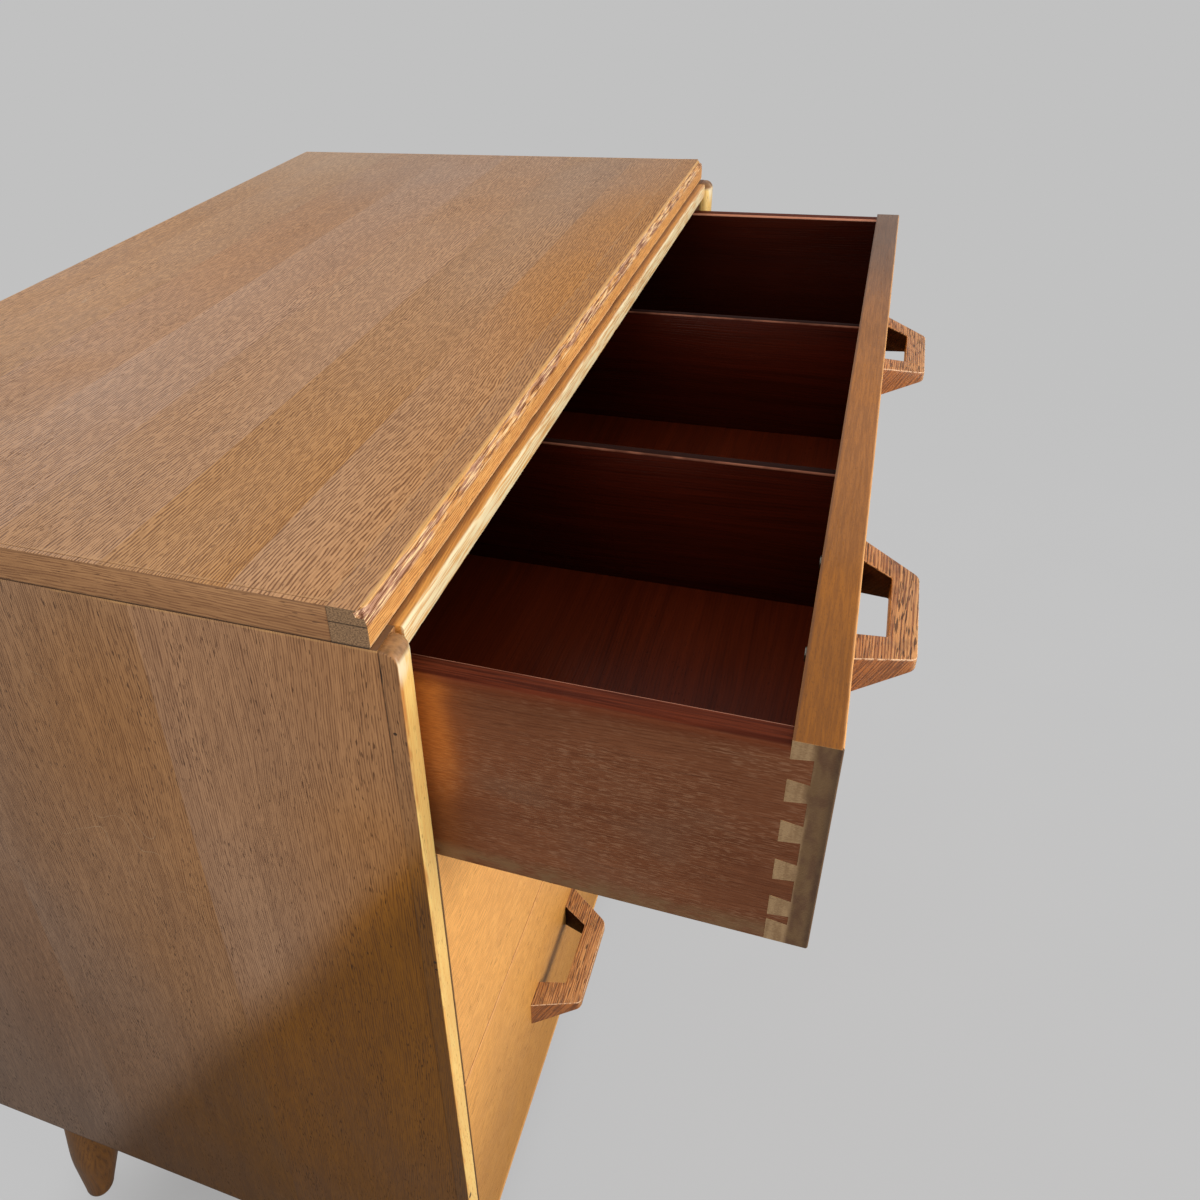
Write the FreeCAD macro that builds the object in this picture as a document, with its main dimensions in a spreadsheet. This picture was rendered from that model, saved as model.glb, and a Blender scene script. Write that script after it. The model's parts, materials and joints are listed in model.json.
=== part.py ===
import FreeCAD, Part
import Sketcher
import os
import re

# Three-drawer oak chest on short turned legs, millimetres, Z up.
# Sketches share one set of coordinates: X from the middle of the chest, Y back from the front
# edges of the sides, Z up from the floor. Each body's placement then moves that set so that the
# middle of the whole outline, with the top drawer open as stored, stands at X 0 and Y 0.

SIZES = {
    # Overall
    "chest_width": 760,
    "chest_depth": 446,
    # Sides and the solid lipping on their front edges
    "side_thick": 18,
    "side_skirt": 18,
    "side_lipping": 9,
    "side_inner_round": 8,
    "side_outer_round": 1.5,
    "side_top_round": 7,
    # Top
    "top_thick": 19,
    "top_setback": 11.7,
    "top_lipping": 18,
    "top_bevel_rise": 6.5,
    "top_bevel_run": 2,
    "top_edging": 3,
    # Rails
    "rail_setback": 5,
    "rail_thick": 14,
    "rail_depth": 60,
    "nose_upper_round": 1.5,
    "nose_lower_round": 4,
    "bottom_rail_thick": 15,
    "bottom_rail_depth": 20,
    "base_board_thick": 12,
    # Back
    "back_panel_thick": 6,
    "back_panel_inset": 3,
    "back_rebate": 9,
    "pin_head_radius": 2.5,
    "pin_head_thick": 0.8,
    "pin_rows": 5,
    # Drawer fronts and the gaps round them
    "front_setback": 3.3,
    "front_thick": 19,
    "front_edge_round": 1,
    "top_gap": 8,
    "front_gap": 2,
    "side_gap": 1,
    "slide_gap": 0.3,
    "top_front_height": 120,
    "lower_front_height": 208,
    # Drawer boxes
    "drawer_side_thick": 12,
    "drawer_side_round": 2.5,
    "drawer_back_thick": 10,
    "drawer_back_drop": 8,
    "top_side_drop": 2,
    "lower_side_drop": 16,
    "drawer_bottom_thick": 5,
    "groove_height": 6,
    "groove_depth": 6,
    "divider_thick": 7,
    "divider_drop": 15,
    "divider_housing": 3,
    # Dovetails
    "tail_length": 9,
    "tail_flare": 1.4,
    "pin_width": 10,
    "first_pin": 6.5,
    "narrow_tail": 5.5,
    "last_pin": 12.5,
    "top_tail_count": 4,
    "lower_tail_count": 7,
    "top_rear_tail_count": 3,
    "lower_rear_tail_count": 6,
    # Runners, kickers and stops
    "runner_width": 14,
    "runner_start": 25,
    "runner_clearance": 3.5,
    "kicker_width": 18,
    "kicker_clearance": 2,
    "stop_width": 14,
    "stop_height": 30,
    "stop_rise": 45,
    "stop_clearance": 0.5,
    "rear_space": 18.7,
    # Handles
    "handle_offset": 182,
    "top_handle_drop": 51,
    "lower_handle_drop": 95,
    "handle_reach": 33.4,
    "handle_foot_span": 114.6,
    "handle_foot_length": 21,
    "handle_grip_span": 75.6,
    "handle_grip_end": 10.2,
    "handle_grip_depth": 14.5,
    "handle_foot_height": 24,
    "handle_top_fall": 9,
    "handle_nose_height": 7,
    "handle_corner_round": 6,
    "handle_inner_round": 2,
    "handle_screw_inset": 13,
    "screw_radius": 2,
    "screw_bite": 12,
    "screw_head_radius": 4,
    "screw_head_thick": 1.5,
    # Legs
    "batten_thick": 20,
    "batten_depth": 70,
    "leg_inset": 60,
    "plate_width": 48,
    "plate_thick": 2.5,
    "plate_clearance": 1,
    "plate_screw_inset": 4.5,
    "plate_screw_radius": 3,
    "plate_screw_thick": 1.2,
    "leg_height": 124.2,
    "leg_top_radius": 23,
    "leg_swell_radius": 24,
    "leg_swell_drop": 36,
    "leg_shin_radius": 21.5,
    "leg_shin_drop": 78,
    "leg_foot_radius": 11.2,
    "leg_foot_bevel": 2,
    "leg_splay": 32,
    # Pose that the part is stored in
    "open_distance": 177,
}

# Places worked out from the sizes
PLACES = {
    "half_width": "chest_width / 2",
    "half_opening": "half_width - side_thick",
    "half_drawer": "half_opening - side_gap",
    "half_inside": "half_drawer - drawer_side_thick",
    "outline_front": "front_setback - open_distance - handle_reach",
    "frame_shift": "-(outline_front + chest_depth) / 2",
    "leg_top": "leg_height",
    "batten_base": "leg_top + plate_thick",
    "base_board_base": "batten_base + batten_thick",
    "base_board_top": "base_board_base + base_board_thick",
    "bottom_front_base": "base_board_top + slide_gap",
    "bottom_front_top": "bottom_front_base + lower_front_height",
    "middle_front_base": "bottom_front_top + front_gap",
    "middle_front_top": "middle_front_base + lower_front_height",
    "top_front_base": "middle_front_top + front_gap",
    "top_front_top": "top_front_base + top_front_height",
    "rail_underside": "top_front_top + top_gap",
    "top_underside": "rail_underside + rail_thick",
    "chest_height": "top_underside + top_thick",
    "bottom_rail_top": "bottom_front_base - front_gap",
    "bottom_rail_base": "bottom_rail_top - bottom_rail_thick",
    "side_base": "bottom_rail_base - side_skirt",
    "leg_top_offset": "half_opening - plate_clearance - plate_width / 2",
    "leg_foot_offset": "leg_top_offset + leg_splay",
    "leg_slope": "(leg_splay / leg_top)",
    "leg_length": "sqrt(leg_top * leg_top + leg_splay * leg_splay)",
    "leg_spare": "2 * leg_swell_radius",
    "back_panel_front": "chest_depth - back_panel_inset - back_panel_thick",
    "back_panel_rear": "chest_depth - back_panel_inset",
    "drawer_length": "back_panel_front - rear_space - front_setback",
    "bottom_rail_rear": "rail_setback + bottom_rail_depth",
    "divider_place": "half_inside / 3",
    "handle_screw_place": "(handle_foot_span / 2 - handle_screw_inset)",
    "handle_foot_inner": "handle_foot_span / 2 - handle_foot_length",
    "handle_grip_inner": "handle_grip_span / 2 - handle_grip_end",
}

doc = FreeCAD.newDocument("ChestOfDrawers")
sheet = doc.addObject("Spreadsheet::Sheet", "Sizes")
for row, (alias, value) in enumerate(SIZES.items(), start=1):
    sheet.set("A%d" % row, str(value))
    sheet.setAlias("A%d" % row, alias)
doc.recompute()


def spell(text):
    """Write a place as an expression on the sheet's cells."""
    def swap(match):
        word = match.group(0)
        if word in SIZES:
            return "Sizes." + word
        if word in PLACES:
            return "(" + spell(PLACES[word]) + ")"
        return word
    return re.sub(r"[a-z][a-z_]+", swap, text)


def value(text):
    return float(sheet.evalExpression(spell(text)))


def bind(item, prop, text):
    item.setExpression(prop, spell(text))


# Bodies and their features

AXES = {"x": "YZ_Plane", "y": "XZ_Plane", "z": "XY_Plane"}
parts = []


def new_body(label):
    body = doc.addObject("PartDesign::Body", label)
    body.Label = label
    bind(body, "Placement.Base.y", "frame_shift")
    parts.append(body)
    return body


def new_sketch(body, axis, place):
    """A sketch square to an axis, at a place along it."""
    sketch = body.newObject("Sketcher::SketchObject", "Sketch")
    planes = [f for f in body.Origin.OriginFeatures if f.Role == AXES[axis]]
    sketch.AttachmentSupport = [(planes[0], "")]
    sketch.MapMode = "FlatFace"
    bind(sketch, "AttachmentOffset.Base.z", "-(%s)" % place if axis == "y" else place)
    return sketch


def pin_point(sketch, geometry, end, point):
    for kind, text in zip(("DistanceX", "DistanceY"), point):
        index = sketch.addConstraint(Sketcher.Constraint(kind, -1, 1, geometry, end, value(text)))
        bind(sketch, "Constraints[%d]" % index, text)


def outline_sketch(body, axis, outline, place):
    """A closed outline of straight lines through points that the sheet places."""
    sketch = new_sketch(body, axis, place)
    corners = [FreeCAD.Vector(value(a), value(b), 0) for a, b in outline]
    count = len(corners)
    for i in range(count):
        sketch.addGeometry(Part.LineSegment(corners[i], corners[(i + 1) % count]), False)
    for i in range(count):
        sketch.addConstraint(Sketcher.Constraint("Coincident", i, 2, (i + 1) % count, 1))
    for i, point in enumerate(outline):
        pin_point(sketch, i, 1, point)
    return sketch


def circle_sketch(body, axis, centres, radius, place):
    sketch = new_sketch(body, axis, place)
    for i, point in enumerate(centres):
        centre = FreeCAD.Vector(value(point[0]), value(point[1]), 0)
        sketch.addGeometry(Part.Circle(centre, FreeCAD.Vector(0, 0, 1), value(radius)), False)
        pin_point(sketch, i, 3, point)
        index = sketch.addConstraint(Sketcher.Constraint("Radius", i, value(radius)))
        bind(sketch, "Constraints[%d]" % index, radius)
    return sketch


def stretch(body, kind, sketch, axis, start, end):
    """Pad or pocket a sketch that lies at start, as far as end."""
    feature = body.newObject("PartDesign::" + kind, kind)
    feature.Profile = sketch
    bind(feature, "Length", "%s - (%s)" % (end, start))
    feature.Reversed = (axis == "y") == (kind == "Pad")
    return feature


def prism(body, axis, outline, start, end, kind="Pad"):
    return stretch(body, kind, outline_sketch(body, axis, outline, start), axis, start, end)


def drill(body, axis, centres, radius, start, end):
    return stretch(body, "Pocket", circle_sketch(body, axis, centres, radius, start), axis, start, end)


def rectangle(first, second):
    (a, b), (c, d) = first, second
    return [(a, c), (b, c), (b, d), (a, d)]


def board(label, across, back, up):
    """A plain board between two places on each axis."""
    body = new_body(label)
    prism(body, "z", rectangle(across, back), up[0], up[1])
    return body


def repeat(body, feature, spacing, count):
    """Repeat a feature down the height."""
    pattern = body.newObject("PartDesign::LinearPattern", "Row")
    pattern.Originals = [feature]
    axis = [f for f in body.Origin.OriginFeatures if f.Role == "Z_Axis"][0]
    pattern.Direction = (axis, [""])
    pattern.Reversed = True
    pattern.Mode = "Spacing"
    bind(pattern, "Offset", spacing)
    bind(pattern, "Occurrences", count)
    body.Tip = pattern
    return pattern


def soften(body, wanted, size, kind="Fillet"):
    """Round or bevel the edges of the finished shape that are wanted."""
    doc.recompute()
    base = body.Tip
    names = ["Edge%d" % i for i, edge in enumerate(base.Shape.Edges, start=1) if wanted(edge)]
    feature = body.newObject("PartDesign::" + kind, kind)
    feature.Base = (base, names)
    bind(feature, "Radius" if kind == "Fillet" else "Size", size)
    return feature


def along(edge, axis):
    """True for a straight edge that runs along an axis."""
    if edge.Curve.TypeId != "Part::GeomLine":
        return False
    return abs(getattr(edge.Curve.Direction, axis)) > 0.999


def near(number, text):
    return abs(number - value(text)) < 0.01


def mirrored(side, inner, outer):
    """The stretch between two distances from the middle, on the left or the right."""
    if side == "left":
        return ("-(%s)" % outer, "-(%s)" % inner)
    return (inner, outer)


# Carcass

def build_top():
    field = ("top_edging - half_width", "half_width - top_edging")
    behind = ("top_setback + top_lipping", "chest_depth")
    board("top_panel", field, behind, ("top_underside", "chest_height"))
    lipping = new_body("top_front_lipping")
    profile = [
        ("top_setback", "top_underside"),
        ("top_setback + top_lipping", "top_underside"),
        ("top_setback + top_lipping", "chest_height"),
        ("top_setback + top_bevel_run", "chest_height"),
        ("top_setback", "chest_height - top_bevel_rise"),
    ]
    prism(lipping, "x", profile, "-half_width", "half_width")
    for side in ("left", "right"):
        strip = mirrored(side, "half_width - top_edging", "half_width")
        board("top_%s_edging" % side, strip, behind, ("top_underside", "chest_height"))


def build_side(side):
    across = mirrored(side, "half_opening", "half_width")
    panel = board(side + "_side", across, ("side_lipping", "chest_depth"), ("side_base", "top_underside"))
    step = mirrored(side, "half_opening", "half_opening + back_rebate")
    rebate = rectangle(step, ("back_panel_front", "chest_depth"))
    prism(panel, "z", rebate, "side_base", "top_underside", "Pocket")

    lipping = board(side + "_side_lipping", across, ("0", "side_lipping"), ("side_base", "top_underside"))
    sign = -1 if side == "left" else 1
    soften(lipping, lambda e: along(e, "z") and near(e.BoundBox.YMin, "0")
           and near(sign * e.BoundBox.XMin, "half_opening"), "side_inner_round")
    soften(lipping, lambda e: along(e, "x") and near(e.BoundBox.YMin, "0")
           and near(e.BoundBox.ZMin, "top_underside"), "side_top_round")
    soften(lipping, lambda e: near(sign * e.BoundBox.XMin, "half_width")
           and near(sign * e.BoundBox.XMax, "half_width")
           and e.BoundBox.YMin < value("side_lipping") - 1
           and not near(e.BoundBox.ZMax, "side_base") and not near(e.BoundBox.YMax, "side_lipping"),
           "side_outer_round")


def build_rail(label, depth, base, top):
    """A rail with a rounded nose, between the sides."""
    across = ("-half_opening", "half_opening")
    rail = board(label, across, ("rail_setback", "rail_setback + %s" % depth), (base, top))
    soften(rail, lambda e: along(e, "x") and near(e.BoundBox.YMin, "rail_setback")
           and near(e.BoundBox.ZMin, base), "nose_lower_round")
    soften(rail, lambda e: along(e, "x") and near(e.BoundBox.YMin, "rail_setback")
           and near(e.BoundBox.ZMin, top), "nose_upper_round")


def build_carcass():
    across = ("-half_opening", "half_opening")
    build_top()
    build_side("left")
    build_side("right")
    build_rail("top_front_rail", "rail_depth", "rail_underside", "top_underside")
    build_rail("bottom_front_rail", "bottom_rail_depth", "bottom_rail_base", "bottom_rail_top")
    board("top_back_rail", across, ("back_panel_front - rail_depth", "back_panel_front"),
          ("rail_underside", "top_underside"))
    board("base_board", across, ("bottom_rail_rear", "back_panel_front"),
          ("base_board_base", "base_board_top"))
    board("back_panel", ("-half_opening - back_rebate", "half_opening + back_rebate"),
          ("back_panel_front", "back_panel_rear"), ("bottom_rail_base", "top_underside"))


def build_runners():
    for level, drawer_base in (("upper", "top_front_base"), ("lower", "middle_front_base")):
        top = drawer_base + " - slide_gap"
        low = drawer_base + " - front_gap - lower_side_drop + runner_clearance"
        for side in ("left", "right"):
            across = mirrored(side, "half_opening - runner_width", "half_opening")
            board("%s_%s_runner" % (level, side), across, ("runner_start", "back_panel_front"), (low, top))
    for side in ("left", "right"):
        across = mirrored(side, "half_opening - kicker_width", "half_opening")
        board(side + "_kicker", across,
              ("rail_setback + rail_depth", "back_panel_front - rail_depth"),
              ("top_front_top - top_side_drop + kicker_clearance", "top_underside"))


# Groups of separate solids that are alike

def group(label, members):
    compound = doc.addObject("Part::Compound", label)
    compound.Label = label
    compound.Links = members
    bind(compound, "Placement.Base.y", "frame_shift")
    parts.append(compound)


def block(across, back, up):
    box = doc.addObject("Part::Box", "Block")
    for prop, stretch_of in (("Length", across), ("Width", back), ("Height", up)):
        bind(box, prop, "%s - (%s)" % (stretch_of[1], stretch_of[0]))
    for axis, stretch_of in (("x", across), ("y", back), ("z", up)):
        bind(box, "Placement.Base." + axis, stretch_of[0])
    return box


def rod(radius, start, length, back_to_front=True):
    """A round rod from a point, toward the front or straight down."""
    cylinder = doc.addObject("Part::Cylinder", "Rod")
    bind(cylinder, "Radius", radius)
    bind(cylinder, "Height", length)
    axis, angle = (FreeCAD.Vector(1, 0, 0), 90 if back_to_front else 180)
    cylinder.Placement = FreeCAD.Placement(FreeCAD.Vector(0, 0, 0), FreeCAD.Rotation(axis, angle))
    for axis_name, text in zip("xyz", start):
        bind(cylinder, "Placement.Base." + axis_name, text)
    return cylinder


def build_stops():
    blocks = []
    rear = "front_setback + drawer_length + stop_clearance"
    for base in ("top_front_base", "middle_front_base", "bottom_front_base"):
        up = (base + " + stop_rise", base + " + stop_rise + stop_height")
        for side in ("left", "right"):
            across = mirrored(side, "half_opening - stop_width", "half_opening")
            blocks.append(block(across, (rear, "back_panel_front"), up))
    group("drawer_stops", blocks)


def build_back_pins():
    heads = []
    edge = "half_opening + back_rebate / 2"
    for i in range(int(SIZES["pin_rows"])):
        share = "(%d + 0.5) / pin_rows" % i
        height = "bottom_rail_base + (top_underside - bottom_rail_base) * " + share
        for side in ("-", ""):
            start = ("%s(%s)" % (side, edge), "back_panel_rear + pin_head_thick", height)
            heads.append(rod("pin_head_radius", start, "pin_head_thick"))
    group("back_pins", heads)


# Legs

LEG_PLACES = {"front": "leg_inset", "rear": "chest_depth - leg_inset"}


def build_leg(end, side):
    """A leg turned about its own axis, then tilted outward, with its top and its foot cut level."""
    leg = new_body("%s_%s_leg" % (end, side))
    sign = -1 if side == "left" else 1

    points = [
        ("0", "-leg_foot_radius"),
        ("leg_foot_radius", "-leg_foot_radius"),
        ("leg_shin_radius", "leg_length - leg_shin_drop"),
        ("leg_swell_radius", "leg_length - leg_swell_drop"),
        ("leg_top_radius", "leg_length"),
        ("leg_top_radius", "leg_length + leg_spare"),
        ("0", "leg_length + leg_spare"),
    ]
    profile = outline_sketch(leg, "y", points, "0")
    turned = leg.newObject("PartDesign::Revolution", "Turned")
    turned.Profile = profile
    turned.ReferenceAxis = (profile, ["V_Axis"])
    turned.Angle = 360

    reach = "leg_spare"
    rise = "%d * leg_spare * leg_slope" % sign
    for level, beyond in (("0", "-3 * leg_spare"), ("leg_length", "leg_length + 3 * leg_spare")):
        outline = [
            ("-" + reach, level + " + " + rise),
            (reach, level + " - " + rise),
            (reach, beyond),
            ("-" + reach, beyond),
        ]
        prism(leg, "y", outline, "-leg_spare", "leg_spare", "Pocket")
    tilt = FreeCAD.Rotation(FreeCAD.Vector(0, -sign, 0), 10)
    leg.Placement = FreeCAD.Placement(FreeCAD.Vector(0, 0, 0), tilt)
    bind(leg, "Placement.Base.x", "%d * (leg_foot_offset)" % sign)
    bind(leg, "Placement.Base.y", "frame_shift + " + LEG_PLACES[end])
    bind(leg, "Placement.Rotation.Angle", "atan(leg_slope)")
    soften(leg, lambda e: e.BoundBox.ZMax < value("leg_foot_radius"), "leg_foot_bevel", "Chamfer")


def build_legs():
    plates = []
    screws = []
    across = ("-half_opening", "half_opening")
    for end, place in LEG_PLACES.items():
        back = ("%s - batten_depth / 2" % place, "%s + batten_depth / 2" % place)
        board(end + "_leg_batten", across, back, ("batten_base", "base_board_base"))
        for side, sign in (("left", "-"), ("right", "")):
            build_leg(end, side)
            middle = "%s(leg_top_offset)" % sign
            plates.append(block((middle + " - plate_width / 2", middle + " + plate_width / 2"),
                                (place + " - plate_width / 2", place + " + plate_width / 2"),
                                ("leg_top", "batten_base")))
            for x_sign in "+-":
                for y_sign in "+-":
                    start = ("%s %s (plate_width / 2 - plate_screw_inset)" % (middle, x_sign),
                             "%s %s (plate_width / 2 - plate_screw_inset)" % (place, y_sign), "leg_top")
                    screws.append(rod("plate_screw_radius", start, "plate_screw_thick", False))
    group("leg_plates", plates)
    group("leg_plate_screws", screws)


# Drawers

class Drawer:
    """The places of one drawer, as it is stored."""

    def __init__(self, name, top, base, side_drop, tails, rear_tails, handle_drop, pulled):
        self.name = name
        self.top = top
        self.base = base
        self.side_top = "%s - %s" % (top, side_drop)
        self.tails = tails
        self.rear_tails = rear_tails
        self.handle_top = "%s - %s" % (top, handle_drop)
        self.face = "front_setback - %s" % pulled
        self.inner = self.face + " + front_thick"
        self.rear = self.face + " + drawer_length"
        self.rear_inner = self.rear + " - drawer_back_thick"
        self.back_top = self.side_top + " - drawer_back_drop"
        self.groove = base + " + groove_height"
        self.back_base = self.groove + " + drawer_bottom_thick"
        self.pitch = "((%s - (%s)) - first_pin - narrow_tail - last_pin) / %s" % (self.side_top, base, tails)
        self.rear_pitch = "((%s - (%s)) / %s)" % (self.back_top, self.back_base, rear_tails)

    def part(self, name):
        return self.name + "_drawer_" + name


def tail_outline(base_line, end_line, high, width, flare_sign):
    """One dovetail seen from the side: narrow on its base line, wide at its end."""
    low = "%s - (%s)" % (high, width)
    return [
        (base_line, high + " - tail_flare"),
        (end_line, high),
        (end_line, low),
        (base_line, low + " + tail_flare"),
    ]


def cut_joint(body, outline, spacing, count, across, kind):
    """A row of tails or sockets; with no count, a single one."""
    feature = prism(body, "x", outline, across[0], across[1], kind)
    if count:
        repeat(body, feature, spacing, count)
    return feature


def front_tails(drawer):
    end_line = drawer.inner + " - tail_length"
    wide = tail_outline(drawer.inner, end_line, drawer.side_top + " - first_pin",
                        drawer.pitch + " - pin_width", 1)
    narrow = tail_outline(drawer.inner, end_line, drawer.base + " + last_pin + narrow_tail", "narrow_tail", 1)
    return wide, narrow


def rear_tails(drawer):
    return tail_outline(drawer.rear_inner, drawer.rear, drawer.back_top + " - pin_width / 2",
                        drawer.rear_pitch + " - pin_width", -1)


def build_front(drawer):
    across = ("-half_drawer", "half_drawer")
    front = board(drawer.part("front"), across, (drawer.face, drawer.inner), (drawer.base, drawer.top))
    wide, narrow = front_tails(drawer)
    for side in ("left", "right"):
        end = mirrored(side, "half_inside", "half_drawer")
        cut_joint(front, wide, drawer.pitch, drawer.tails, end, "Pocket")
        cut_joint(front, narrow, None, None, end, "Pocket")
    groove = rectangle((drawer.inner + " - groove_depth", drawer.inner), (drawer.groove, drawer.back_base))
    prism(front, "x", groove, "-half_inside - groove_depth", "half_inside + groove_depth", "Pocket")
    centres = []
    for place in ("-handle_offset", "handle_offset"):
        for sign in "-+":
            centres.append(("%s %s handle_screw_place" % (place, sign),
                            drawer.handle_top + " - handle_foot_height / 2"))
    drill(front, "y", centres, "screw_radius", drawer.face, drawer.inner)
    if drawer.name == "top":
        for place in ("-divider_place", "divider_place"):
            housing = rectangle((place + " - divider_thick / 2", place + " + divider_thick / 2"),
                                (drawer.inner + " - divider_housing", drawer.inner))
            prism(front, "z", housing, drawer.back_base, drawer.top + " - divider_drop", "Pocket")
    soften(front, lambda e: near(e.BoundBox.YMin, drawer.face) and near(e.BoundBox.YMax, drawer.face)
           and (along(e, "x") or along(e, "z")), "front_edge_round")


def build_drawer_side(drawer, side):
    across = mirrored(side, "half_inside", "half_drawer")
    panel = board(drawer.part(side + "_side"), across, (drawer.inner, drawer.rear),
                  (drawer.base, drawer.side_top))
    notch = rectangle((drawer.rear_inner, drawer.rear), (drawer.back_base, drawer.side_top))
    prism(panel, "x", notch, across[0], across[1], "Pocket")
    soften(panel, lambda e: along(e, "y") and near(e.BoundBox.ZMin, drawer.side_top), "drawer_side_round")
    wide, narrow = front_tails(drawer)
    cut_joint(panel, wide, drawer.pitch, drawer.tails, across, "Pad")
    cut_joint(panel, narrow, None, None, across, "Pad")
    cut_joint(panel, rear_tails(drawer), drawer.rear_pitch, drawer.rear_tails, across, "Pad")
    inner = mirrored(side, "half_inside", "half_inside + groove_depth")
    groove = rectangle(inner, (drawer.groove, drawer.back_base))
    prism(panel, "y", groove, drawer.inner, drawer.rear, "Pocket")


def build_drawer_back(drawer):
    across = ("-half_drawer", "half_drawer")
    back = board(drawer.part("back"), across, (drawer.rear_inner, drawer.rear),
                 (drawer.back_base, drawer.back_top))
    for side in ("left", "right"):
        end = mirrored(side, "half_inside", "half_drawer")
        cut_joint(back, rear_tails(drawer), drawer.rear_pitch, drawer.rear_tails, end, "Pocket")
    if drawer.name == "top":
        for place in ("-divider_place", "divider_place"):
            housing = rectangle((place + " - divider_thick / 2", place + " + divider_thick / 2"),
                                (drawer.rear_inner, drawer.rear_inner + " + divider_housing"))
            prism(back, "z", housing, drawer.back_base, drawer.back_top, "Pocket")


def build_handle(drawer, side, place):
    """A bar handle cut from one block: falling to the front on top, hollowed behind, thinner to the front."""
    handle = new_body(drawer.part(side + "_handle"))
    tip = drawer.face + " - handle_reach"
    hollow = tip + " + handle_grip_depth"
    plan = [
        (place + " - handle_foot_span / 2", drawer.face),
        (place + " - handle_grip_span / 2", tip),
        (place + " + handle_grip_span / 2", tip),
        (place + " + handle_foot_span / 2", drawer.face),
        (place + " + handle_foot_inner", drawer.face),
        (place + " + handle_grip_inner", hollow),
        (place + " - (handle_grip_inner)", hollow),
        (place + " - (handle_foot_inner)", drawer.face),
    ]
    foot = drawer.handle_top + " - handle_foot_height"
    prism(handle, "z", plan, foot, drawer.handle_top)
    nose = drawer.handle_top + " - handle_top_fall"
    over = [
        (drawer.face, drawer.handle_top),
        (tip, drawer.handle_top),
        (tip, nose),
    ]
    under = [
        (drawer.face, foot),
        (tip, foot),
        (tip, nose + " - handle_nose_height"),
    ]
    for waste in (over, under):
        prism(handle, "x", waste, place + " - handle_foot_span / 2", place + " + handle_foot_span / 2", "Pocket")
    centres = [(place + " %s handle_screw_place" % sign, drawer.handle_top + " - handle_foot_height / 2")
               for sign in "-+"]
    drill(handle, "y", centres, "screw_radius", drawer.face + " - screw_bite", drawer.face)
    soften(handle, lambda e: along(e, "z") and near(e.BoundBox.YMin, tip), "handle_corner_round")
    soften(handle, lambda e: along(e, "z") and near(e.BoundBox.YMin, hollow), "handle_inner_round")


def build_screws(drawer):
    screws = []
    height = drawer.handle_top + " - handle_foot_height / 2"
    for place in ("-handle_offset", "handle_offset"):
        for sign in "-+":
            across = "%s %s handle_screw_place" % (place, sign)
            screw = doc.addObject("Part::Fuse", "Screw")
            screw.Base = rod("screw_radius", (across, drawer.inner, height), "front_thick + screw_bite")
            screw.Tool = rod("screw_head_radius", (across, drawer.inner + " + screw_head_thick", height),
                             "screw_head_thick")
            screws.append(screw)
    group(drawer.part("handle_screws"), screws)


def build_drawer(drawer):
    build_front(drawer)
    build_drawer_side(drawer, "left")
    build_drawer_side(drawer, "right")
    build_drawer_back(drawer)
    board(drawer.part("bottom"), ("-half_inside - groove_depth", "half_inside + groove_depth"),
          (drawer.inner + " - groove_depth", drawer.rear), (drawer.groove, drawer.back_base))
    if drawer.name == "top":
        for side, place in (("left", "-divider_place"), ("right", "divider_place")):
            board(drawer.part(side + "_divider"),
                  (place + " - divider_thick / 2", place + " + divider_thick / 2"),
                  (drawer.inner + " - divider_housing", drawer.rear_inner + " + divider_housing"),
                  (drawer.back_base, drawer.top + " - divider_drop"))
    build_handle(drawer, "left", "-handle_offset")
    build_handle(drawer, "right", "handle_offset")
    build_screws(drawer)


build_carcass()
build_runners()
build_stops()
build_back_pins()
build_legs()
build_drawer(Drawer("top", "top_front_top", "top_front_base", "top_side_drop", "top_tail_count",
                    "top_rear_tail_count", "top_handle_drop", "open_distance"))
build_drawer(Drawer("middle", "middle_front_top", "middle_front_base", "lower_side_drop", "lower_tail_count",
                    "lower_rear_tail_count", "lower_handle_drop", "0"))
build_drawer(Drawer("bottom", "bottom_front_top", "bottom_front_base", "lower_side_drop", "lower_tail_count",
                    "lower_rear_tail_count", "lower_handle_drop", "0"))
doc.recompute()

# Checks, then one file for each piece

for item in doc.Objects:
    if "Invalid" in item.State or "Error" in item.State:
        raise RuntimeError("%s failed: %s" % (item.Name, item.State))
    if item.TypeId == "PartDesign::Pocket":
        if item.Shape.Volume >= item.BaseFeature.Shape.Volume - 0.01:
            raise RuntimeError("%s of %s cuts nothing" % (item.Name, item.getParent().Label))
for part in parts:
    if part.Shape.isNull() or not part.Shape.isValid():
        raise RuntimeError(part.Label + " has no valid shape")
os.makedirs("parts", exist_ok=True)
for part in parts:
    part.Shape.exportStep(os.path.join("parts", part.Label + ".step"))
    print("%-30s %2d solids %10.1f mm3" % (part.Label, len(part.Shape.Solids), part.Shape.Volume))
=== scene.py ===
import json
import math

import bmesh
import bpy
from mathutils import Matrix, Vector, noise


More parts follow.
